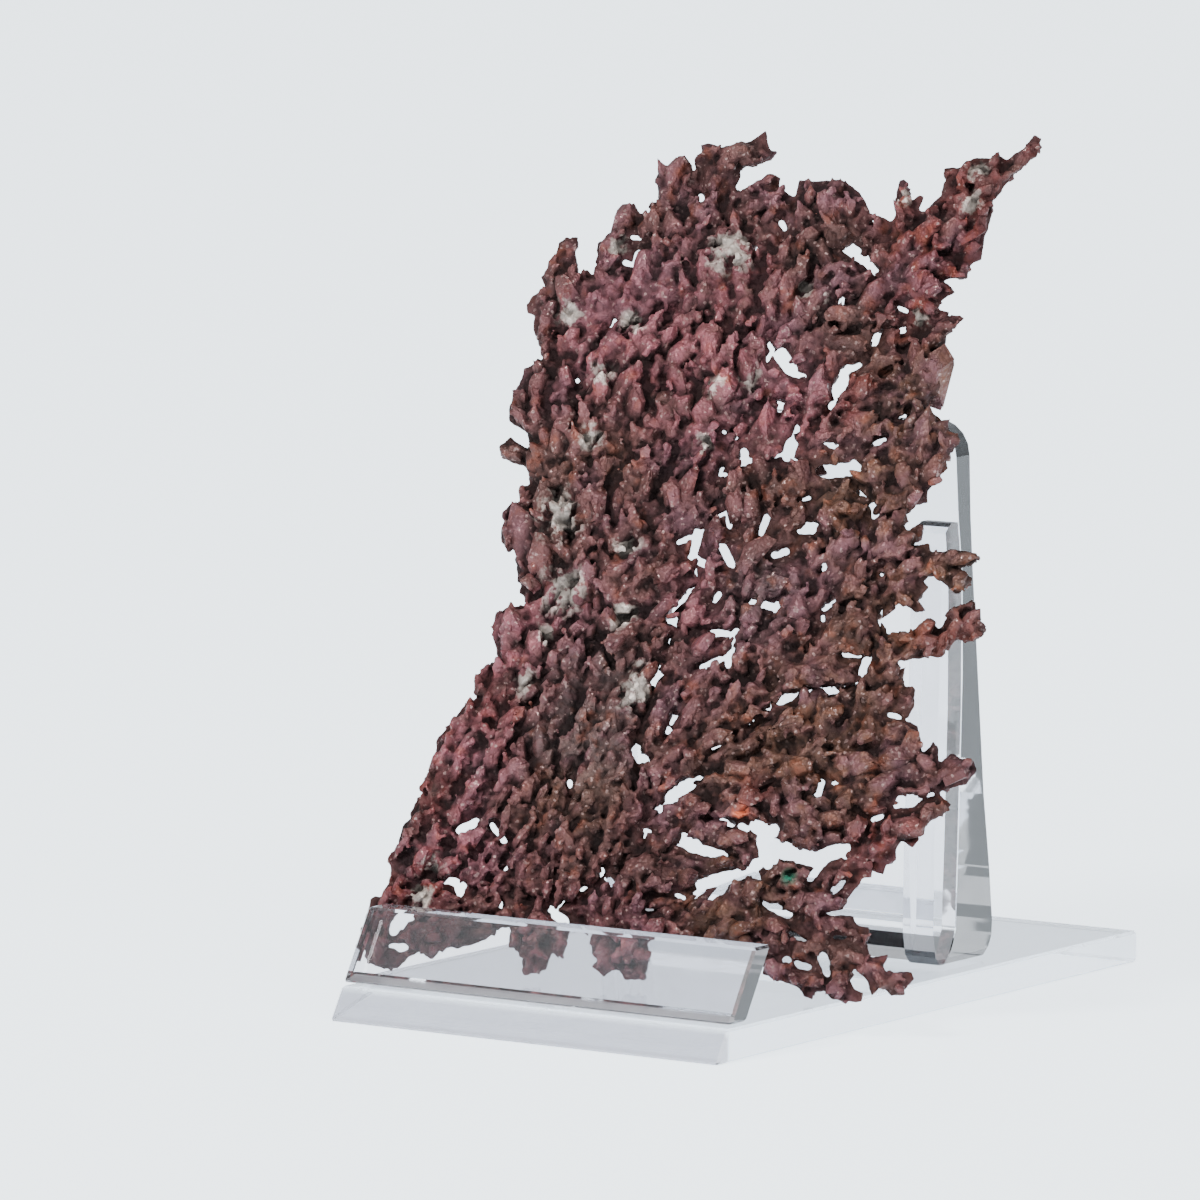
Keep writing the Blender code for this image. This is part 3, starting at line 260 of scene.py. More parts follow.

# %% [markdown]
# ## Which way the crystals grew
# On the real plate the rows fan out from the lower left, like frost on a window. About 150 arrows
# say which way they run. Between the arrows the direction is blended.

# %% Growth arrows: u, v and the direction in degrees
ARROWS = np.array([
    (-2.5, 4.0, 250), (0.0, 9.0, 60), (4.0, 12.5, 55), (1.0, 16.0, 62), (3.0, 20.0, 68),
    (5.5, 25.0, 72), (7.0, 31.0, 85), (6.0, 38.0, 95), (5.0, 43.5, 110), (8.0, 45.0, 95),
    (3.0, 49.5, 165), (6.0, 53.0, 98), (5.0, 58.0, 100), (4.5, 66.0, 95), (9.0, 70.0, 78),
    (9.0, 62.0, 92), (13.5, 72.0, 90), (14.0, 76.0, 88), (19.0, 79.0, 12), (22.0, 75.5, 30),
    (18.0, 75.5, 80), (13.0, 60.0, 60), (16.0, 57.0, 58), (14.0, 50.0, 78), (16.0, 44.0, 88),
    (13.0, 38.0, 95), (12.0, 31.0, 85), (17.0, 31.0, 80), (14.0, 24.0, 80), (12.0, 17.0, 78),
    (9.0, 14.0, 70), (14.0, 10.0, 85), (10.0, 7.5, 80), (6.0, 6.5, 20), (13.5, 3.0, 270),
    (16.0, 4.0, 280), (21.0, 3.5, 275), (23.5, 2.5, 300), (20.0, 9.0, 80), (24.0, 11.5, 6),
    (28.0, 12.2, 8), (24.0, 7.0, 15), (28.0, 7.0, 50), (30.0, 13.8, -35), (23.0, 14.5, 30),
    (31.0, 9.0, 55), (33.0, 6.5, -35), (35.5, 11.0, 20), (37.5, 9.5, 35), (41.0, 12.0, 50),
    (43.5, 13.6, 5), (43.0, 15.5, 45), (38.0, 7.0, -25), (41.5, 7.0, -10), (37.0, 2.6, -18),
    (42.0, 2.0, -70), (42.5, 4.8, -30), (46.0, 3.0, -20), (19.0, 19.0, 85), (20.0, 25.0, 75),
    (23.0, 21.5, 35), (24.0, 27.5, 55), (27.0, 25.0, 35), (27.0, 18.0, 20), (30.0, 20.5, 18),
    (33.0, 25.0, 28), (34.0, 18.0, -40), (37.0, 26.0, 35), (38.5, 21.5, -25), (40.0, 17.0, 40),
    (44.0, 20.2, 2), (49.0, 21.5, 22), (47.0, 18.4, 25), (46.7, 22.5, 88), (44.5, 25.0, 120),
    (43.5, 28.2, 75), (41.5, 30.0, 92), (20.0, 36.5, 25), (20.0, 45.0, 80), (22.0, 47.0, 75),
    (23.5, 36.0, 70), (23.0, 31.5, 45), (26.0, 38.5, 110), (26.5, 44.0, 108), (25.5, 47.5, 115),
    (29.0, 46.5, 100), (28.5, 39.5, 15), (28.5, 33.0, 80), (28.0, 30.5, 95), (31.0, 35.5, 68),
    (33.0, 41.0, 72), (33.0, 32.0, 62), (32.5, 46.5, 10), (35.5, 42.5, 85), (36.0, 48.0, 85),
    (36.5, 36.5, 60), (37.0, 33.5, 20), (37.0, 31.0, -12), (39.0, 44.5, 80), (39.5, 49.5, 80),
    (42.0, 50.5, 60), (42.0, 53.0, 110), (42.5, 41.5, 40), (46.0, 41.4, 0), (45.8, 39.2, -38),
    (42.0, 38.5, 5), (42.5, 36.8, -30), (41.0, 33.0, 5), (45.0, 33.5, 10), (48.0, 35.0, 35),
    (40.5, 35.0, 100), (44.5, 35.0, 80), (22.0, 54.0, 80), (24.0, 58.0, 95), (28.0, 57.0, 0),
    (30.5, 54.0, 75), (31.0, 58.5, 80), (34.0, 55.5, 55), (36.0, 59.5, 55), (38.5, 62.5, 62),
    (37.5, 56.0, 42), (40.5, 58.5, 80), (37.5, 53.0, 30), (42.5, 63.2, 38), (33.5, 61.5, 30),
    (29.0, 62.0, 60), (20.0, 63.0, 88), (17.0, 67.0, 90), (21.0, 69.5, 85), (25.0, 66.0, 85),
    (27.5, 70.0, 88), (28.0, 74.5, 95), (31.0, 73.5, 70), (34.0, 64.5, 50), (34.5, 69.5, 125),
    (36.0, 74.5, 92), (37.5, 69.0, 55), (40.0, 72.5, 58), (41.0, 66.2, -8), (43.0, 71.0, 65),
    (41.0, 76.5, 60), (43.0, 78.0, 20), (45.5, 77.8, 45), (47.5, 80.5, 62), (38.5, 65.8, 0),
])


def cell_of(u, v):
    i = np.clip(((np.asarray(u) - LOW_U) / CELL).astype(int), 0, WIDE - 1)
    j = np.clip(((np.asarray(v) - LOW_V) / CELL).astype(int), 0, TALL - 1)
    return i, j


def blended_growth():
    """The growth direction in every cell, as a unit vector on the plan."""
    u = LOW_U + (np.arange(WIDE) + 0.5)[:, None] * CELL
    v = LOW_V + (np.arange(TALL) + 0.5)[None, :] * CELL
    east = np.zeros((WIDE, TALL))
    north = np.zeros((WIDE, TALL))
    for au, av, angle in ARROWS:
        weight = 1 / ((u - au) ** 2 + (v - av) ** 2 + 0.3) ** 2
        east += weight * math.cos(math.radians(angle))
        north += weight * math.sin(math.radians(angle))
    length = np.hypot(east, north) + 1e-9
    return east / length, north / length


grow_u, grow_v = blended_growth()

# %% [markdown]
# ## Rows of crystals
# A branch of native copper is one row of crystals, and each crystal grew on the one before it. Each
# row follows the growth direction until it meets an edge or another row. The rows start from the
# thickest places, so every thin branch gets one down its middle. Low on the left the real rows are
# finer than on the rest of the plate.

# %% Lay out the rows
# Deep places between the lumps, as u, v and radius: nothing grows up in them
PITS = [
    (6.8, 58.5, 0.7), (7.6, 54.3, 1.0), (12.4, 53.2, 1.0), (12.0, 50.3, 0.8), (15.8, 50.7, 0.8),
    (21.3, 54.7, 1.0), (19.9, 53.0, 1.0), (22.0, 50.5, 0.8), (21.0, 61.0, 0.7), (20.3, 42.6, 0.8),
    (17.0, 36.7, 0.8), (12.9, 46.3, 0.8), (9.2, 34.1, 0.6), (13.3, 30.6, 0.7), (31.3, 39.7, 1.5),
    (25.5, 21.3, 0.8), (41.5, 24.0, 1.1), (38.5, 24.0, 0.8), (19.6, 57.0, 0.6), (19.6, 59.2, 0.6),
]

STEP = 0.2
MOST_STEPS = 400
LEAST_ROOM = 0.25
SEED_SHARE = 0.82
ROW_SHARE = 0.5
SHORTEST_ROW = 3
WIDE_PITCH = 2.35
FINER_BY = 0.95


def in_pit(u, v):
    return any((u - pu) ** 2 + (v - pv) ** 2 < radius ** 2 for pu, pv, radius in PITS)


def row_pitch(u, v):
    """Distance between rows in mm: fine low on the left, wider above, and nowhere quite even."""
    fine = np.clip((34 - v) / 8, 0, 1) * np.clip((24 - u) / 6, 0, 1)
    uneven = 0.18 * math.sin(0.9 * u + 1.7 * math.sin(0.5 * v)) + 0.14 * math.sin(1.3 * v - 0.6 * u)
    return (WIDE_PITCH - FINER_BY * fine) * (1 + uneven)


def stamp(grid, u, v, radius):
    i, j = cell_of(u, v)
    r = int(radius / CELL) + 1
    i0, i1, j0, j1 = max(i - r, 0), min(i + r + 1, WIDE), max(j - r, 0), min(j + r + 1, TALL)
    du = (np.arange(i0, i1) - i)[:, None] * CELL
    dv = (np.arange(j0, j1) - j)[None, :] * CELL
    grid[i0:i1, j0:j1] |= du ** 2 + dv ** 2 <= radius ** 2


def follow(u, v, way, taken):
    """Walk from a place along the growth, one step at a time."""
    walked = []
    east, north = None, None
    for _ in range(MOST_STEPS):
        i, j = cell_of(u, v)
        if not solid_plan[i, j] or taken[i, j]:
            break
        walked.append((float(u), float(v)))
        du, dv = grow_u[i, j] * way, grow_v[i, j] * way
        if east is not None and du * east + dv * north < 0:
            du, dv = -du, -dv
        east, north = du, dv
        u, v = u + du * STEP, v + dv * STEP
    return walked


def lay_rows():
    """Rows of places, a step apart. They start where there is most room and keep their distance."""
    seeded = np.zeros((WIDE, TALL), dtype=bool)
    taken = np.zeros((WIDE, TALL), dtype=bool)
    rows = []
    cells = np.argwhere(depth > LEAST_ROOM)
    room = np.minimum(depth[cells[:, 0], cells[:, 1]], 1.0)
    order = np.argsort(-(room + 0.15 * DICE.random(len(cells))))
    for i, j in cells[order]:
        if seeded[i, j]:
            continue
        u, v = LOW_U + (i + 0.5) * CELL, LOW_V + (j + 0.5) * CELL
        behind = follow(u, v, -1, taken)
        ahead = follow(u, v, 1, taken)
        row = behind[::-1] + ahead[1:]
        pitch = row_pitch(u, v)
        for place in row:
            stamp(seeded, place[0], place[1], pitch * SEED_SHARE)
            stamp(taken, place[0], place[1], pitch * ROW_SHARE)
        seeded[i, j] = True
        if len(row) >= SHORTEST_ROW:
            rows.append(row)
    return rows


rows = lay_rows()
print("rows:", len(rows), "total length", round(sum(len(row) for row in rows) * STEP), "mm")

# %% [markdown]
# ## The crystal forms
# Copper crystals are cubes with their corners and edges cut off by smaller faces, often drawn out
# along the branch. Each form starts as a cube at its real proportions. Flat cuts take its corners
# off, as the crystal's own faces do. A narrow bevel softens the edges, because native copper is a
# soft metal and its edges are never sharp.

# %% Cut the forms
SOFT_EDGE = 0.05
SOFT_ANGLE = math.radians(18)
BUD_CUTS = 5


def cut_faces(size, cuts, soft):
    """A cube cut down by flat faces.

    Each cut is a direction, and how far out it lies as a share of the way to the corner."""
    deselect_all()
    bpy.ops.mesh.primitive_cube_add(size=1.0, location=(0, 0, 0))
    crystal = bpy.context.object
    crystal.scale = size
    bpy.ops.object.transform_apply(location=False, rotation=False, scale=True)
    bpy.ops.object.mode_set(mode="EDIT")
    for direction, share in cuts:
        normal = Vector(direction).normalized()
        reach = math.sqrt(sum((normal[k] * size[k] / 2) ** 2 for k in range(3))) * share
        bpy.ops.mesh.select_all(action="SELECT")
        bpy.ops.mesh.bisect(plane_co=normal * reach, plane_no=normal,
                            use_fill=True, clear_outer=True)
    bpy.ops.mesh.select_all(action="SELECT")
    bpy.ops.mesh.normals_make_consistent(inside=False)
    bpy.ops.object.mode_set(mode="OBJECT")
    if soft:
        bevel = crystal.modifiers.new("soft_edges", "BEVEL")
        bevel.width = soft
        bevel.segments = 1
        bevel.limit_method = "ANGLE"
        bevel.angle_limit = SOFT_ANGLE
        bpy.ops.object.modifier_apply(modifier=bevel.name)
    points = np.array([v.co[:] for v in crystal.data.vertices])
    faces = [tuple(f.vertices) for f in crystal.data.polygons]
    bpy.data.objects.remove(crystal, do_unlink=True)
    return points, faces


BLUNT_WEDGE = ((1.1, 0.72, 0.66), [
    ((1, 0.2, 0.7), 0.92), ((1, 0.9, -0.2), 0.9), ((1, -0.8, 0.1), 0.94), ((0.2, 1, 0.9), 0.95),
    ((0, -1, 0.8), 0.93), ((-1, 0.5, 0.8), 0.95), ((-1, -0.7, 0.3), 0.95)])
KNUCKLE = ((0.95, 0.85, 0.78), [
    ((1, 1, 0.6), 0.93), ((1, -1, 0.7), 0.95), ((-1, 1, 0.8), 0.96), ((-1, -0.9, 0.7), 0.94),
    ((0.9, 0.1, 1), 0.97), ((-0.5, 0.1, 1), 0.93), ((0.1, 1, -0.9), 0.95), ((0, -1, -1), 0.95)])
SPEAR = ((1.45, 0.6, 0.6), [
    ((0.8, 1, 0.3), 0.86), ((0.8, -1, 0.4), 0.88), ((0.9, 0.1, 1), 0.88), ((0.7, 0, -1), 0.92),
    ((-0.5, 1, 0.7), 0.95), ((-0.6, -1, 0.6), 0.93), ((0, 0.5, 1), 0.93)])
LEAF = ((1.25, 0.95, 0.42), [
    ((1, 0.8, 0), 0.9), ((1, -0.9, 0.1), 0.92), ((-1, 0.9, 0), 0.93), ((-1, -0.7, 0.2), 0.95),
    ((0.3, 0.5, 1), 0.93), ((-0.2, -0.6, 1), 0.95)])
STEP_BLOCK = ((0.9, 0.75, 0.7), [
    ((1, 0, 1), 0.98), ((0.2, 1, 0.7), 1.02), ((-0.1, -1, 0.9), 0.96), ((1, 0.9, 0), 0.97),
    ((-1, 0.2, 0.8), 1.0)])
LARGE_KINDS = (BLUNT_WEDGE, KNUCKLE, SPEAR, LEAF, STEP_BLOCK)
SMALL_KINDS = (BLUNT_WEDGE, KNUCKLE, SPEAR)
SPEAR_KIND = LARGE_KINDS.index(SPEAR)

forms = [cut_faces(size, cuts, SOFT_EDGE) for size, cuts in LARGE_KINDS]
buds = [cut_faces(size, cuts[:BUD_CUTS], 0) for size, cuts in SMALL_KINDS]
print("faces in each form:", [len(faces) for _, faces in forms])
print("faces in each bud:", [len(faces) for _, faces in buds])

# %% [markdown]
# ## Setting the crystals along the rows
# Along a row each crystal leans outwards and forwards over the next, like scales on a pine cone.
# They step from side to side of the row, and their size follows the width of the branch under them.
# Small buds sit on the shoulders of the larger ones.

# %% Place one crystal after another
SMALLEST_BUD = 0.32
SHORTENED = 0.72
FILLER_ROOM = 0.45
SHARE_OVER_CUTS = 0.16


def place_crystal(u, v, n, heading, pitch_up, roll, scale):
    """Where a crystal goes: its middle on the plan, three turned axes and its size in mm."""
    ahead = np.array((math.cos(heading), math.sin(heading), 0.0))
    side = np.array((-math.sin(heading), math.cos(heading), 0.0))
    out = np.array((0.0, 0.0, 1.0))
    long_axis = math.cos(pitch_up) * ahead + math.sin(pitch_up) * out
    lift_axis = -math.sin(pitch_up) * ahead + math.cos(pitch_up) * out
    wide_axis = math.cos(roll) * side + math.sin(roll) * lift_axis
    lift_axis = -math.sin(roll) * side + math.cos(roll) * lift_axis
    return (u, v, n), np.array((long_axis, wide_axis, lift_axis)), scale


def growth_heading(i, j):
    return math.atan2(grow_v[i, j], grow_u[i, j])


def crystal_at(u, v, heading, long, wide, thick, side_of_plate, share, group):
    """Stand one crystal on the face of the plate and add it to a group."""
    i, j = cell_of(u, v)
    surface = front_crest[i, j] if side_of_plate > 0 else back_crest[i, j]
    n = side_of_plate * max(surface * share - thick * 0.45, 0.02)
    lift = side_of_plate * DICE.uniform(0.0, 0.7)
    spot = place_crystal(u, v, n, heading, lift, DICE.normal(0, 0.5), (long, wide, thick))
    group.append((*spot, int(DICE.integers(len(LARGE_KINDS))), i, j))
    return n


def buds_on(u, v, n, heading, long, wide, thick, side_of_plate, count, group):
    """Small crystals on the shoulders of a larger one."""
    for _ in range(count):
        turn = heading + DICE.choice((-1, 1)) * DICE.uniform(0.1, 0.9)
        reach = wide * DICE.uniform(0.1, 0.55)
        bu = u + math.cos(turn) * reach + math.cos(heading) * DICE.uniform(-0.4, 0.5) * long
        bv = v + math.sin(turn) * reach + math.sin(heading) * DICE.uniform(-0.4, 0.5) * long
        bi, bj = cell_of(bu, bv)
        if not solid_plan[bi, bj]:
            continue
        size = max(wide * DICE.uniform(0.2, 0.5), SMALLEST_BUD)
        bn = n + side_of_plate * thick * DICE.uniform(0.0, 0.5)
        spot = place_crystal(
            bu, bv, bn, turn, side_of_plate * DICE.uniform(0, 1.1), DICE.uniform(-1, 1),
            (size * DICE.uniform(1.1, 2.0), size, size * DICE.uniform(0.7, 1.1)))
        group.append((*spot, int(DICE.integers(len(SMALL_KINDS))), bi, bj))


def feathered(u):
    """Where the side crystals stand out like the barbs of a feather: the fans on the right."""
    return float(np.clip((u - 24) / 6, 0, 1))


def held_back(u, v, heading, long, room):
    """A crystal that would close a window is cut short of it."""
    for way in (-0.45, 0.45):
        i, j = cell_of(u + math.cos(heading) * long * way, v + math.sin(heading) * long * way)
        if not solid_plan[i, j]:
            long = max(long * SHORTENED, room)
    return long


def crystals_on_row(row, side_of_plate, large, small):
    """The larger crystals of one row on the front (1) or back (-1), and the buds on them."""
    at = DICE.uniform(0, 2)
    flip = 1
    while at < len(row):
        u, v = row[int(at)]
        i, j = cell_of(u, v)
        pitch = row_pitch(u, v)
        room = max(depth[i, j], 0.3)
        wide = min(pitch * DICE.uniform(0.65, 1.12), room * 1.4 + 0.12)
        long = wide * DICE.uniform(1.25, 2.3)
        thick = wide * DICE.uniform(0.75, 1.15)
        barb = feathered(u)
        heading = growth_heading(i, j) + DICE.normal(0, 0.26) + flip * (0.14 + 0.35 * barb)
        shift = flip * min(pitch, room * 1.2) * DICE.uniform(0.02, 0.3)
        cu = u - math.sin(heading) * shift
        cv = v + math.cos(heading) * shift
        at += long * DICE.uniform(0.36, 0.62) / STEP
        flip = -flip
        if side_of_plate > 0 and in_pit(cu, cv):
            continue
        long = held_back(cu, cv, heading, long, room)
        n = crystal_at(cu, cv, heading, long, wide, thick, side_of_plate,
                       DICE.uniform(0.72, 1.04), large)
        count = int(DICE.integers(2, 6)) if side_of_plate > 0 else 2
        buds_on(cu, cv, n, heading, long, wide, thick, side_of_plate, count, small)


def crystals_between(count, side_of_plate, large):
    """Lower crystals that lie at all angles between the rows and tie them together."""
    cells = np.argwhere(depth > FILLER_ROOM)
    for i, j in cells[DICE.integers(len(cells), size=count)]:
        u, v = LOW_U + (i + DICE.random()) * CELL, LOW_V + (j + DICE.random()) * CELL
        if in_pit(u, v):
            continue
        wide = min(DICE.uniform(0.6, 1.3), depth[i, j] * 1.3)
        heading = growth_heading(i, j) + DICE.normal(0, 0.45)
        crystal_at(u, v, heading, wide * DICE.uniform(1.1, 2.2), wide,
                   wide * DICE.uniform(0.6, 1.1), side_of_plate, DICE.uniform(0.5, 0.9), large)


def crystals_over_cuts(large):
    """Small crystals that grow across the narrow cuts at the forks and hide them."""
    for i, j in np.argwhere(solid_plan & (owner < 0)):
        if DICE.random() > SHARE_OVER_CUTS:
            continue
        u, v = LOW_U + (i + 0.5) * CELL, LOW_V + (j + 0.5) * CELL
        wide = DICE.uniform(0.6, 1.0)
        heading = growth_heading(i, j) + DICE.normal(0, 0.8)
        for side_of_plate in (1, -1):
            crystal_at(u, v, heading, wide * 1.5, wide, wide * 0.9, side_of_plate,
                       DICE.uniform(0.5, 0.8), large)


# Single crystals that stand out: u, v, direction in degrees, and length and width in mm
STANDING_OUT = [
    (41.5, 58.3, 70, 4.0, 3.2), (37.5, 35.0, 15, 3.2, 2.2), (41.2, 52.0, 80, 4.6, 2.4),
    (5.5, 32.5, 75, 3.4, 2.8), (6.6, 29.8, 60, 3.2, 2.6), (38.3, 14.9, 10, 3.4, 1.4),
    (29.6, 73.0, 95, 4.2, 2.8), (40.6, 71.2, 58, 4.4, 2.2), (43.4, 76.0, 48, 3.2, 1.7),
    (38.6, 71.2, 62, 4.2, 2.0), (46.6, 79.2, 58, 2.8, 1.2), (14.4, 76.2, 90, 3.0, 2.4),
    (19.4, 78.6, 12, 3.6, 2.0), (9.8, 71.8, 80, 3.2, 2.0), (25.0, 45.2, 110, 3.2, 2.2),
    (34.6, 56.0, 52, 3.8, 1.6), (30.6, 56.0, 78, 3.8, 2.0), (44.2, 33.2, 8, 3.4, 1.7),
    (48.2, 35.4, 40, 2.4, 1.7), (46.0, 41.2, 4, 3.6, 1.2), (32.8, 24.6, 35, 3.6, 2.0),
    (36.6, 26.0, 30, 3.2, 2.0), (49.2, 21.6, 20, 2.6, 2.0), (28.6, 12.2, 5, 3.6, 1.4),
    (13.2, 38.4, 92, 3.4, 2.2), (16.0, 47.0, 85, 4.0, 2.2), (10.2, 54.6, 88, 4.0, 2.4),
    (17.2, 58.4, 62, 4.2, 2.6), (13.6, 60.0, 66, 3.6, 2.4), (23.6, 57.6, 92, 3.8, 2.2),
    (7.0, 50.6, 92, 3.2, 2.2), (8.8, 40.8, 95, 3.2, 2.0),
]
FRONT_FILLERS = 1000
BACK_FILLERS = 500

large_ones = []
small_ones = []
for row in rows:
    for side_of_plate in (1, -1):
        crystals_on_row(row, side_of_plate, large_ones, small_ones)
crystals_between(FRONT_FILLERS, 1, large_ones)
crystals_between(BACK_FILLERS, -1, large_ones)
crystals_over_cuts(large_ones)
first_standing = len(large_ones)
for u, v, angle, long, wide in STANDING_OUT:
    heading = math.radians(angle)
    n = crystal_at(u, v, heading, long, wide, wide * 0.9, 1, 1.0, large_ones)
    buds_on(u, v, n, heading, long, wide, wide * 0.9, 1, 4, small_ones)
print("crystals:", len(large_ones), "large and", len(small_ones), "small")

# %% [markdown]
# ## A solid core under the crystals
# On the real plate nobody can see how far down a crystal goes, because its neighbours grew round
# it. So each branch has a solid core, made from the branch's own CAD solid pressed down a little.
# The core closes the pits between the crystals. Each crystal goes to the branch that it stands on.

# %% Core and crystals of a branch
CORE_LEAST = 0.22
CORE_SHARE = 0.62
OWNER_CELLS = 3
FACE_JITTER = 0.05


def core_of(name):
    """The branch's own solid, with its two faces pressed towards the middle."""
    places, triangles = triangles_of(name)
    whole, index = np.unique(np.round(places, 4), axis=0, return_inverse=True)
    triangles = index.reshape(-1)[triangles]
    triangles = [tuple(int(k) for k in t) for t in triangles if len(set(t.tolist())) == 3]
    height = whole[:, 2]
    pressed = np.minimum(np.abs(height), CORE_LEAST + CORE_SHARE * np.abs(height))
    whole[:, 2] = np.sign(height) * pressed
    return whole, triangles


def nearest_owner(i, j):
    """The branch that a cell belongs to, also just outside its edge."""
    if owner[i, j] >= 0:
        return int(owner[i, j])
    part = owner[max(i - OWNER_CELLS, 0):i + OWNER_CELLS + 1,
                 max(j - OWNER_CELLS, 0):j + OWNER_CELLS + 1]
    found = part[part >= 0]
    return int(found[0]) if len(found) else -1


def crystal_points(form, spot, axes, scale):
    """The corners of one crystal in metres, each a little off its place."""
    shape = form[0] * np.array(scale)
    shape = shape * (1 + DICE.normal(0, FACE_JITTER, shape.shape))
    turned = shape @ axes
    centre = from_plan([spot])[0] / MM
    return (centre + turned @ AXES) * MM


def gather(number, name):
    """The core of a branch and all the crystals that stand on it, as points and faces."""
    core, faces = core_of(name)
    blocks = [from_plan(core)]
    count = len(core)
    for group, shapes in ((large_ones, forms), (small_ones, buds)):
        for spot, axes, scale, kind, i, j in group:
            if nearest_owner(i, j) != number:
                continue
            points = crystal_points(shapes[kind], spot, axes, scale)
            blocks.append(points)
            faces += [tuple(k + count for k in face) for face in shapes[kind][1]]
            count += len(points)
    return np.concatenate(blocks), faces


def points_of(piece):
    points = np.empty(len(piece.data.vertices) * 3)
    piece.data.vertices.foreach_get("co", points)
    return points.reshape(-1, 3)


print("branches to build:", len(COPPER))

# %% [markdown]
# ## Grown together
# The crystals of one branch are one piece of metal, with no seams between them, so the loose parts
# get one skin. A fine voxel skin joins them. Two patterns then push it in and out: flat steps of
# 0.85 mm, like small crystal faces, and a grit of 0.4 mm. Near the edges they push less, because
# the real outline is rounder than the faces. Decimating turns the soft skin back into small flat
# facets. Last, the crystals that stand clear of the crust are set on it with sharp faces, so the
# light picks out single crystals as it does on the real plate.

# %% One skin for each branch
SKIN_CELL = 0.15 * MM
FACET_SHARE = 0.5
STEP_SIZE, STEP_DEPTH = 0.85 * MM, -0.32 * MM
GRIT_SIZE, GRIT_DEPTH = 0.4 * MM, 0.1 * MM
SHARP_ANGLE = math.radians(32)
CRISP_HEIGHT, CRISP_WIDTH = 0.4, 0.9
CRISP_SCALE = (0.98, 1.12, 1.12)
STAND_HEIGHT = 2.93 * MM
INSET = 1e-5
low_corner, high_corner = (np.array(side, dtype=float) for side in first_bounds)


def add_crisp_crystals(piece, number):
    """Sharp crystals that stand clear of the crust.

    They are all the standing ones, and two of every three broad ones on the front."""
    blocks = [points_of(piece)]
    faces = [tuple(face.vertices) for face in piece.data.polygons]
    skin_faces = len(faces)
    count = len(blocks[0])
    for k, (spot, axes, scale, kind, i, j) in enumerate(large_ones):
        broad = spot[2] > CRISP_HEIGHT and scale[1] > CRISP_WIDTH and kind != SPEAR_KIND
        chosen = k >= first_standing or (broad and k % 3 != 1)
        if not chosen or nearest_owner(i, j) != number:
            continue
        points = crystal_points(forms[kind], spot, axes, np.array(scale) * CRISP_SCALE)
        blocks.append(points)
        faces += [tuple(q + count for q in face) for face in forms[kind][1]]
        count += len(points)
    mesh = piece.data
    mesh.clear_geometry()
    mesh.from_pydata(np.concatenate(blocks).tolist(), [], faces)
    mesh.update()
    mesh.polygons.foreach_set("use_smooth", np.arange(len(faces)) < skin_faces)
    bpy.ops.object.shade_smooth_by_angle(angle=SHARP_ANGLE)


def weigh_edges(piece):
    """Weights that hold the pattern back near the edges, where the real outline is rounder."""
    plan = to_plan(points_of(piece))
    i, j = cell_of(plan[:, 0], plan[:, 1])
    tenths = np.round(10 * np.clip(0.3 + 0.55 * depth[i, j], 0.3, 1.0)).astype(int)
    group = piece.vertex_groups.new(name="away_from_edges")
    for step in range(3, 11):
        group.add(np.nonzero(tenths == step)[0].tolist(), step / 10, "REPLACE")


def displace(piece, title, kind, size, strength):
    """Push the skin in and out by a pattern of the given size."""
    pattern = bpy.data.textures.new(title, kind)
    pattern.noise_scale = size
    if kind == "VORONOI":
        pattern.distance_metric = "MANHATTAN"
    push = piece.modifiers.new(title, "DISPLACE")
    push.texture = pattern
    push.texture_coords = "LOCAL"
    push.strength = strength
    push.mid_level = 0.6 if kind == "VORONOI" else 0.5
    push.vertex_group = "away_from_edges"
    bpy.ops.object.modifier_apply(modifier=push.name)


def build_branch(number, name):
    """One branch from its loose crystals to its finished mesh, kept inside the size of the CAD."""
    points, faces = gather(number, name)
    mesh = bpy.data.meshes.new(name + "_crystals")
    mesh.from_pydata(points.tolist(), [], faces)
    mesh.update()
    piece = bpy.data.objects.new(name + "_crystals", mesh)
    bpy.context.scene.collection.objects.link(piece)
    deselect_all()
    bpy.context.view_layer.objects.active = piece
    piece.select_set(True)
    skin = piece.modifiers.new("grown_together", "REMESH")
    skin.mode = "VOXEL"
    skin.voxel_size = SKIN_CELL
    bpy.ops.object.modifier_apply(modifier=skin.name)
    weigh_edges(piece)
    displace(piece, "steps", "VORONOI", STEP_SIZE, STEP_DEPTH)
    displace(piece, "grit", "CLOUDS", GRIT_SIZE, GRIT_DEPTH)
    fewer = piece.modifiers.new("facets", "DECIMATE")
    fewer.ratio = FACET_SHARE
    bpy.ops.object.modifier_apply(modifier=fewer.name)
    add_crisp_crystals(piece, number)
    points = np.clip(points_of(piece), low_corner + INSET, high_corner - INSET)
    points[:, 2] = np.maximum(points[:, 2], STAND_HEIGHT)
    piece.data.vertices.foreach_set("co", points.ravel())
    piece.data.update()
    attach(piece, "root")
    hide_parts(name)
    triangles = sum(len(face.vertices) - 2 for face in piece.data.polygons)
    print(name, triangles, "triangles")
    return piece, triangles


pieces = []
total = 0
for number, name in enumerate(COPPER):
    piece, triangles = build_branch(number, name)
    pieces.append(piece)
    total += triangles
print("triangles in all:", total)

# %% [markdown]
# ## Where tarnish gathers, and painted shade
# The tops of the lumps are rubbed and bright, and tarnish is left in the gaps. The marks made here
# also darken the gaps further as painted shade. Each point is compared with the mean level around
# it: what lies lower than its neighbours is a gap.

# %% Measure high and low
NEAR_CELLS, WIDE_CELLS = 3, 9


def level_map(places, side_of_plate, reach):
    """The mean level of the skin around every cell of the plan."""
    height = np.zeros((WIDE, TALL))
    i, j = cell_of(places[:, 0], places[:, 1])
    np.maximum.at(height, (i, j), side_of_plate * places[:, 2])
    filled = (height > 0).astype(float)
    for _ in range(2):
        for axis in (0, 1):
            height = sum(np.roll(height, k, axis=axis) for k in range(-reach, reach + 1))
            filled = sum(np.roll(filled, k, axis=axis) for k in range(-reach, reach + 1))
    return height / np.maximum(filled, 1e-6)


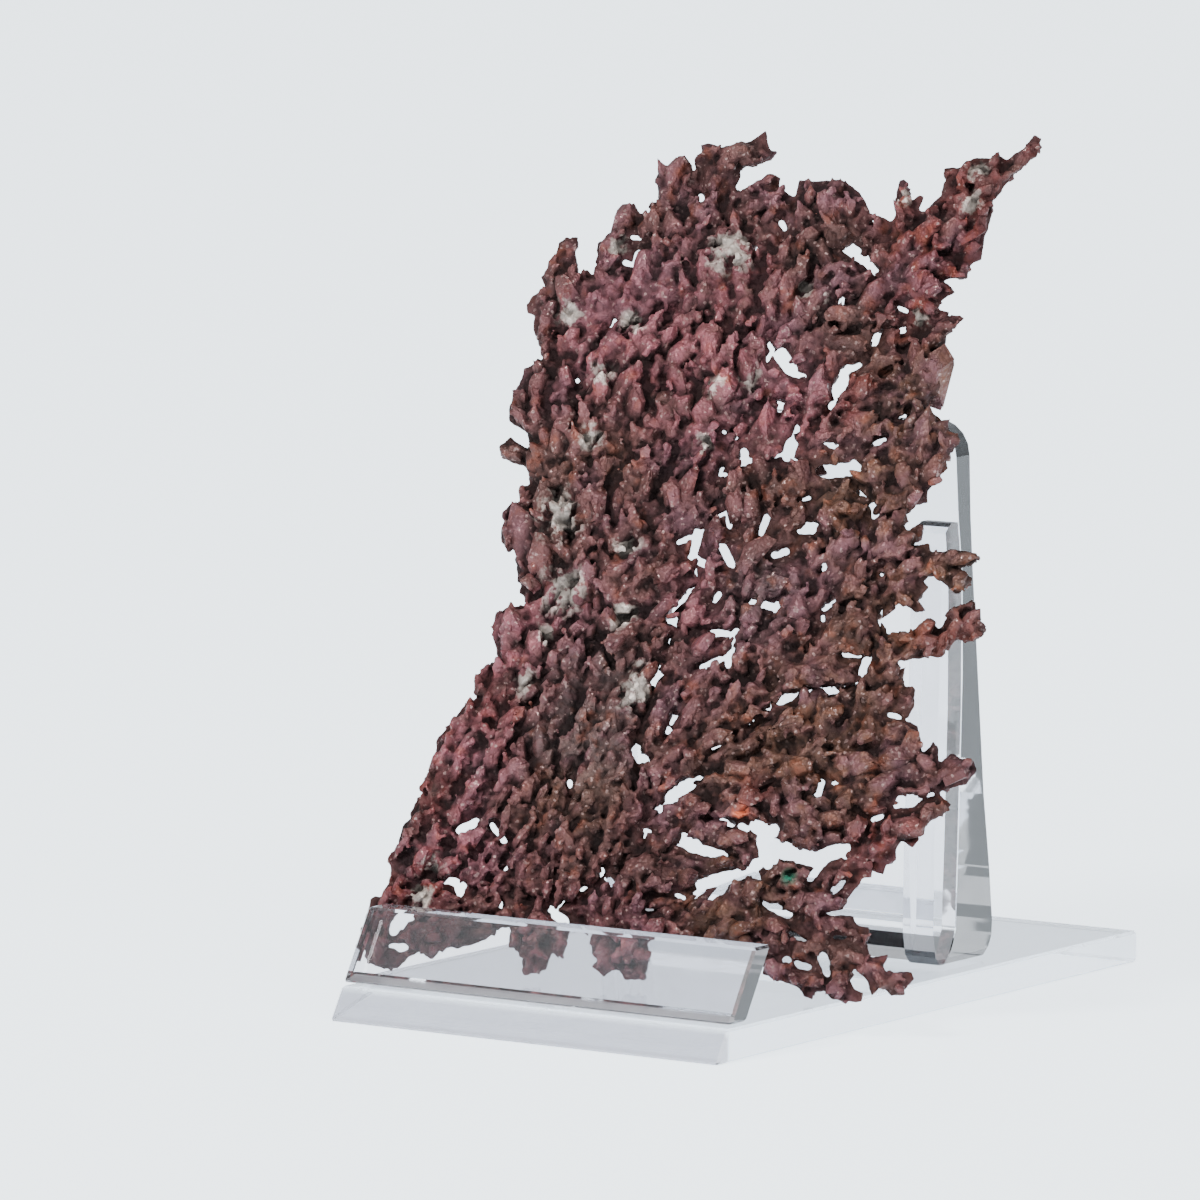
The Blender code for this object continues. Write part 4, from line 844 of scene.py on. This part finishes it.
plans = [to_plan(points_of(piece)) for piece in pieces]
whole_plan = np.concatenate(plans)
near = {side: level_map(whole_plan, side, NEAR_CELLS) for side in (1, -1)}
wide_around = {side: level_map(whole_plan, side, WIDE_CELLS) for side in (1, -1)}
mean_level = float(np.abs(whole_plan[:, 2]).mean())
print("mean level of the skin:", round(mean_level, 2), "mm from the middle")

# %% [markdown]
# ## Where the plate changes colour
# Different parts of the plate lay in different water, so their skins differ: pink, red, brown or
# dull grey-brown. Each part is marked by a few round spots: its place on the plate and its radius,
# in millimetres. The marks only say where. How each colour looks is decided in the material.

# %% Mark the colours
PINK = [
    (12.5, 60.0, 6.0), (20.0, 57.0, 6.0), (27.5, 55.0, 4.0), (6.5, 31.5, 4.5), (20.0, 66.0, 4.0),
    (24.0, 36.5, 3.0), (4.0, 22.5, 4.5), (3.5, 12.0, 4.0), (14.5, 3.5, 3.5), (22.0, 3.0, 3.5),
    (1.0, 3.5, 3.0),
]
RED = [
    (41.0, 71.0, 5.0), (44.0, 77.0, 4.0), (34.6, 56.8, 1.6), (33.4, 54.8, 1.3), (0.0, 8.0, 4.0),
    (44.0, 14.0, 3.0), (38.0, 64.0, 2.5), (0.5, 17.0, 2.5), (5.0, 26.0, 2.0), (31.5, 18.5, 1.5),
    (46.5, 34.3, 2.2),
]
BROWN = [
    (36.0, 24.0, 7.0), (44.0, 36.0, 6.0), (36.0, 47.0, 5.0), (40.0, 56.0, 5.0), (13.5, 20.0, 4.5),
    (30.0, 9.0, 5.0), (12.0, 52.0, 3.5),
]
DULL = [(13.5, 27.5, 4.0), (15.0, 22.5, 3.5), (27.5, 37.5, 3.0), (10.2, 22.1, 2.0)]
FRESH = [(29.9, 17.1, 0.5)]
MALACHITE = [(35.3, 11.4, 0.5)]
CALCITE = [
    (20.4, 69.1, 1.8), (6.1, 62.9, 1.1), (12.2, 62.2, 1.0), (10.1, 57.1, 1.0), (21.4, 56.3, 0.9),
    (24.2, 57.3, 0.9), (10.0, 51.1, 1.0), (20.9, 50.9, 0.8), (8.3, 43.5, 1.8), (10.0, 36.6, 1.8),
    (8.8, 32.5, 0.9), (16.0, 34.7, 1.1), (18.3, 27.4, 1.3), (18.1, 29.2, 1.0), (7.6, 27.9, 0.9),
    (1.4, 7.7, 1.1), (1.7, 10.6, 0.9), (9.7, 69.3, 0.9), (42.8, 77.6, 0.9), (42.3, 74.4, 0.8),
    (35.9, 74.9, 0.7), (39.3, 63.4, 0.8), (29.9, 65.0, 0.7), (28.0, 65.8, 0.7), (15.2, 41.0, 1.0),
]
SPOTS = (("pink", PINK, False), ("red", RED, False), ("brown", BROWN, False), ("dull", DULL, False),
         ("fresh", FRESH, True), ("malachite", MALACHITE, True), ("calcite", CALCITE, True))


def nearness(plan, spots):
    """1 in the middle of any of the spots, falling to 0 outside them."""
    best = np.zeros(len(plan))
    for u, v, radius in spots:
        apart = np.hypot(plan[:, 0] - u, plan[:, 1] - v) / radius
        best = np.maximum(best, np.clip(1.5 - 0.8 * apart, 0, 1))
    return best


RIM_WIDTH = 1.2
NEAR_RELIEF, WIDE_RELIEF = 0.5, 0.9
for piece, plan in zip(pieces, plans):
    i, j = cell_of(plan[:, 0], plan[:, 1])
    high = np.abs(plan[:, 2])
    facing = np.where(plan[:, 2] > 0, 1, -1)
    close = np.where(facing > 0, near[1][i, j], near[-1][i, j])
    far = np.where(facing > 0, wide_around[1][i, j], wide_around[-1][i, j])
    rim = np.clip(1 - depth[i, j] / RIM_WIDTH, 0, 1)
    # The level paints the tops brighter and the gaps darker: partly rubbed wear and tarnish, partly
    # painted shade
    level = 0.5 + 0.45 * (high - close) / NEAR_RELIEF + 0.35 * (high - far) / WIDE_RELIEF
    # At the rim the level is lifted, so the painted shade leaves the rims light
    level = level * (1 - rim) + rim * np.maximum(level, 0.5 + 0.15 * (high - close))
    measured = [("level", level)]
    for key, spots, front_only in SPOTS:
        measured.append((key, nearness(plan, spots) * ((facing > 0) if front_only else 1.0)))
    for key, values in measured:
        mark = piece.data.attributes.new(key, "FLOAT", "POINT")
        mark.data.foreach_set("value", values.astype(np.float32))
print("spots marked:", sum(len(spots) for _, spots, _ in SPOTS))

# %% [markdown]
# ## Weathered copper
# Fresh copper is bright orange. Years underground gave this plate a thin skin of red and brown
# copper oxides. The skin is thickest in the gaps and rubbed thin on the crystals' tops, and on top
# of that the gaps are painted nearly black as painted shade. In a few places white calcite from the
# rock is still stuck to the metal, and one knob has a speck of green malachite. The colours are
# laid over one another as the real layers are. Nothing is raised for a colour.

# %% Colours of the skin
def scale_for(size):
    """The scale of a pattern whose features are the given size in millimetres."""
    return 1 / (size * MM)


# Oxide skin on metal: mostly dull, with a weak metal sheen on the rubbed tops
copper, tree, surface = new_material("weathered_native_copper")
surface.inputs["Metallic"].default_value = 0.35
surface.inputs["Specular IOR Level"].default_value = 0.2
place = add_node(tree, "ShaderNodeTexCoord")
where = place.outputs["Object"]
marks = {key: add_node(tree, "ShaderNodeAttribute", attribute_name=key).outputs["Fac"]
         for key in ("level", "pink", "red", "brown", "dull", "fresh", "malachite", "calcite")}
# Broad changes of tone run over 6 mm, patches over 2 mm, and the grain is 0.4 mm
broad, patch, fine = (
    add_node(tree, "ShaderNodeTexNoise", {"Vector": where, "Scale": scale_for(size),
                                          "Detail": detail})
    for size, detail in ((6.25, 3.0), (1.9, 5.0), (0.39, 5.0)))
grain = add_node(tree, "ShaderNodeTexVoronoi", {"Vector": where, "Scale": scale_for(0.42)})
tones = add_node(tree, "ShaderNodeValToRGB", {"Fac": broad.outputs["Fac"]})
ramp = tones.color_ramp
ramp.elements[0].position = 0.36
ramp.elements[0].color = to_linear("#523733")
ramp.elements[1].position = 0.62
ramp.elements[1].color = to_linear("#634146")
ramp.elements.new(0.48).color = to_linear("#5b3938")

# The four tints lie where their marks say, broken up by the patches, each as strong as its share
coats = []
for key, code, share in (("brown", "#573d2f", 0.9), ("pink", "#7f4950", 0.9),
                         ("red", "#602a28", 0.85), ("dull", "#483b3a", 0.95)):
    uneven = add_node(tree, "ShaderNodeMapRange", {"Value": patch.outputs["Fac"], "From Min": 0.35,
                                                   "From Max": 0.62, "To Max": share})
    cover = add_node(tree, "ShaderNodeMath", {0: marks[key], 1: uneven.outputs["Result"]},
                     operation="MULTIPLY")
    coats.append((cover.outputs["Value"], code))

# Then rusty patches all over, and the fresh knob and the green speck at their own marks
rusty = add_node(tree, "ShaderNodeMapRange", {"Value": patch.outputs["Fac"], "From Min": 0.56,
                                              "From Max": 0.74, "To Max": 0.7})
coats += [(rusty.outputs["Result"], "#733b2a"), (marks["fresh"], "#c8603f"),
          (marks["malachite"], "#1d5a45")]
layer = tones.outputs["Color"]
for cover, code in coats:
    layer = add_node(tree, "ShaderNodeMix", {0: cover, 6: layer, 7: to_linear(code)},
                     data_type="RGBA").outputs[2]
print("colour marks on the skin:", ", ".join(marks))

# %% [markdown]
# ## Calcite, painted shade and painted glints
# Calcite is what is left of the rock that the plate grew in. It holds on in ragged crumbs about a
# millimetre across. Every lump has its own tone, because the oxide skin is not equally thick on
# each crystal, and the gaps are painted darkest, as painted shade. A fine glitter of painted
# glints, bright flecks in the colour, stands for the smallest faces catching the light.

# %% Calcite, painted shade and painted glints
torn = add_node(tree, "ShaderNodeTexNoise", {"Vector": where, "Scale": scale_for(1.2),
                                             "Detail": 7.0})
ragged = add_node(tree, "ShaderNodeMath", {0: torn.outputs["Fac"], 1: 4.2, 2: marks["calcite"]},
                  operation="MULTIPLY_ADD")
crumbs = add_node(tree, "ShaderNodeMath", {0: fine.outputs["Fac"], 1: 0.8,
                                           2: ragged.outputs["Value"]}, operation="MULTIPLY_ADD")
crust = add_node(tree, "ShaderNodeMapRange", {"Value": crumbs.outputs["Value"], "From Min": 3.04,
                                              "From Max": 3.44, "To Max": 0.9})
held = add_node(tree, "ShaderNodeMath", {0: crust.outputs["Result"], 1: marks["calcite"]},
                operation="MULTIPLY")
layer = add_node(tree, "ShaderNodeMix", {0: held.outputs["Value"], 6: layer,
                                         7: to_linear("#b3a79d")}, data_type="RGBA").outputs[2]

# Lumps of about 2 mm differ in tone, and the level darkens the gaps: tarnish and painted shade
lumps = add_node(tree, "ShaderNodeTexVoronoi", {"Vector": where, "Scale": scale_for(2.1)})
lump_tone = add_node(tree, "ShaderNodeSeparateColor", {"Color": lumps.outputs["Color"]})
uneven = add_node(tree, "ShaderNodeMapRange", {"Value": lump_tone.outputs["Red"], "To Min": 0.68,
                                               "To Max": 1.25})
shade = add_node(tree, "ShaderNodeMapRange", {"Value": marks["level"], "From Min": 0.12,
                                              "From Max": 0.85, "To Min": 0.13, "To Max": 1.12})
tone = add_node(tree, "ShaderNodeMath", {0: shade.outputs["Result"], 1: uneven.outputs["Result"]},
                operation="MULTIPLY")
shaded = add_node(tree, "ShaderNodeVectorMath", {0: layer, "Scale": tone.outputs["Value"]},
                  operation="SCALE")

# Painted glints: about one fleck of 0.24 mm in twenty is painted brighter, less in the gaps
flecks = add_node(tree, "ShaderNodeTexVoronoi", {"Vector": where, "Scale": scale_for(0.24)})
fleck_tone = add_node(tree, "ShaderNodeSeparateColor", {"Color": flecks.outputs["Color"]})
glints = add_node(tree, "ShaderNodeMapRange", {"Value": fleck_tone.outputs["Green"],
                                               "From Min": 0.94, "From Max": 0.97})
lit = add_node(tree, "ShaderNodeMath", {0: glints.outputs["Result"], 1: shade.outputs["Result"]},
               operation="MULTIPLY")
painted_glint_share = add_node(tree, "ShaderNodeMath", {0: lit.outputs["Value"], 1: 0.45}, operation="MULTIPLY")
painted_glint_colour = add_node(tree, "ShaderNodeMix", {0: painted_glint_share.outputs["Value"], 6: shaded.outputs["Vector"],
                                            7: to_linear("#a88a84")}, data_type="RGBA")
tree.links.new(painted_glint_colour.outputs[2], surface.inputs["Base Color"])

# Rubbed tops are smoother than the gaps, and the glinting faces are the smoothest
rough = add_node(tree, "ShaderNodeMapRange", {"Value": marks["level"], "From Min": 0.2,
                                              "From Max": 0.8, "To Min": 0.8, "To Max": 0.4})
smoother = add_node(tree, "ShaderNodeMath", {0: lit.outputs["Value"], 1: -0.25,
                                             2: rough.outputs["Result"]}, operation="MULTIPLY_ADD")
tree.links.new(smoother.outputs["Value"], surface.inputs["Roughness"])

# The grain of the skin is 0.16 mm deep at most: it breaks up the light on every face
grainy = add_node(tree, "ShaderNodeMath", {0: fine.outputs["Fac"], 1: grain.outputs["Distance"]},
                  operation="SUBTRACT")
bump = add_node(tree, "ShaderNodeBump", {"Height": grainy.outputs["Value"], "Strength": 0.8,
                                         "Distance": 0.16 * MM})
tree.links.new(bump.outputs["Normal"], surface.inputs["Normal"])
for piece in pieces:
    piece.data.materials.append(copper)
print("nodes in the copper material:", len(tree.nodes))

# %% [markdown]
# ## Clear acrylic
# The stand is cast acrylic sheet, cut, heat-formed and glued. Acrylic bends light less than glass
# does: its IOR is 1.49. Its broad faces are glossy, with a faint haze of handling. Sawn edges are
# flame polished. The base and lip are tinted greyer than the rest, and the base's sloping front
# edge dark grey: this is painted shade. Where the lip is glued to the base the solvent leaves a
# pale, uneven joint, which hides most of what is under it.

# %% Clear acrylic
# The base and lip tints and the base's edge tone are painted shade; the rest has the sheet's faint
# tint
BASE_TINT_AND_SHADE, BASE_EDGE_SHADE = "#c6c6cb", "#716d74"
LIP_TINT_AND_SHADE, REST_TINT = "#e4e2e6", "#eeeef2"
CLEAR, CLEAR_OVER_FLOOR, PALE_JOINT = 0.985, 0.9, 0.3
STAND = (("base_plate", BASE_TINT_AND_SHADE, CLEAR_OVER_FLOOR), ("front_lip", LIP_TINT_AND_SHADE, CLEAR),
         ("back_rest", REST_TINT, CLEAR), ("rib_left", REST_TINT, CLEAR),
         ("rib_right", REST_TINT, CLEAR))


def clear_acrylic(name, tint_and_shade, clear):
    """Clear sheet: a tint, painted shade on the base and lip, and handling haze in patches about 4
    mm wide.
    """
    material, tree, surface = new_material(name)
    surface.inputs["Base Color"].default_value = to_linear(tint_and_shade)
    surface.inputs["IOR"].default_value = 1.49
    surface.inputs["Transmission Weight"].default_value = clear
    place = add_node(tree, "ShaderNodeTexCoord")
    haze = add_node(tree, "ShaderNodeTexNoise", {"Vector": place.outputs["Object"],
                                                 "Scale": scale_for(3.9), "Detail": 4.0})
    rubbed = add_node(tree, "ShaderNodeMapRange", {
        "Value": haze.outputs["Fac"], "From Min": 0.45, "From Max": 0.75,
        "To Min": 0.01, "To Max": 0.09})
    tree.links.new(rubbed.outputs["Result"], surface.inputs["Roughness"])
    return material


for name, tint_and_shade, clear in STAND:
    item = bpy.data.objects[name]
    item.data.materials.clear()
    item.data.materials.append(clear_acrylic(name + "_clear_acrylic", tint_and_shade, clear))


def along_axis(name, axis, start, end, low, high):
    """A value that changes along one axis of a piece, from one place to another in millimetres."""
    tree = bpy.data.materials[name + "_clear_acrylic"].node_tree
    place = add_node(tree, "ShaderNodeTexCoord")
    axes = add_node(tree, "ShaderNodeSeparateXYZ", {"Vector": place.outputs["Object"]})
    ramp = add_node(tree, "ShaderNodeMapRange", {
        "Value": axes.outputs[axis], "From Min": start * MM, "From Max": end * MM,
        "To Min": low, "To Max": high})
    return tree, ramp.outputs["Result"], tree.nodes["Principled BSDF"]


# The sloping front edge of the base, 1.8 mm deep, darkened as painted shade
tree, front_edge, surface = along_axis("base_plate", "Y", -32.3, -32.8, 0.0, 1.0)
edge_painted_shade = add_node(tree, "ShaderNodeMix", {0: front_edge, 6: to_linear(BASE_TINT_AND_SHADE),
                                             7: to_linear(BASE_EDGE_SHADE)}, data_type="RGBA")
tree.links.new(edge_painted_shade.outputs[2], surface.inputs["Base Color"])

# The underside of the lip, 3.2 mm up, where the joint is pale
tree, joint, surface = along_axis("front_lip", "Z", 3.22, 3.3, PALE_JOINT, CLEAR)
tree.links.new(joint, surface.inputs["Transmission Weight"])
print("acrylic pieces:", len(STAND))

# %% [markdown]
# ## Floor, light and camera
# A small piece is shown best on a pale floor under one large soft light from the upper left. A
# weaker light from the right opens up the shadows between the branches. The long lens keeps the
# base nearly free of perspective, as a lens for small objects does.

# %% Floor, light and camera
deselect_all()
bpy.ops.mesh.primitive_plane_add(size=6.0, location=(0, 0, 0))
floor = bpy.context.object
floor.name = "floor"
# Matt white board: it glows a little, so that the clear plates on it stay bright
white, tree, surface = new_material("pale_floor")
surface.inputs["Base Color"].default_value = to_linear("#a9adb0")
surface.inputs["Roughness"].default_value = 0.8
surface.inputs["Emission Color"].default_value = to_linear("#dde8f0")
surface.inputs["Emission Strength"].default_value = 3.4
floor.data.materials.append(white)

world = bpy.context.scene.world or bpy.data.worlds.new("studio")
bpy.context.scene.world = world
world.use_nodes = True
world.node_tree.nodes["Background"].inputs["Color"].default_value = to_linear("#e6ecf0")
world.node_tree.nodes["Background"].inputs["Strength"].default_value = 0.9


def softbox(name, place, target, size, power):
    light = bpy.data.lights.new(name, "AREA")
    light.shape = "RECTANGLE"
    light.size, light.size_y = size
    light.energy = power
    lamp = bpy.data.objects.new(name, light)
    bpy.context.scene.collection.objects.link(lamp)
    lamp.location = place
    lamp.rotation_euler = (Vector(target) - Vector(place)).to_track_quat("-Z", "Y").to_euler()


softbox("key_light", (-0.15, -0.60, 0.62), (0, 0, 0.035), (0.2, 0.2), 9.0)
softbox("side_light", (0.60, -0.15, 0.40), (0, 0, 0.035), (0.25, 0.35), 1.5)

lens = bpy.data.cameras.new("camera")
lens.sensor_width = 36
lens.lens = 276.75
lens.clip_start = 0.01
camera = bpy.data.objects.new("camera", lens)
bpy.context.scene.collection.objects.link(camera)
camera.location = (0.45312, -0.67647, 0.13217)
forward = Vector((-0.5653, 0.8163, -0.1183))
camera.rotation_euler = forward.to_track_quat("-Z", "Y").to_euler()
bpy.context.scene.camera = camera
print("camera stands", round(camera.location.length, 2), "m from the stand")
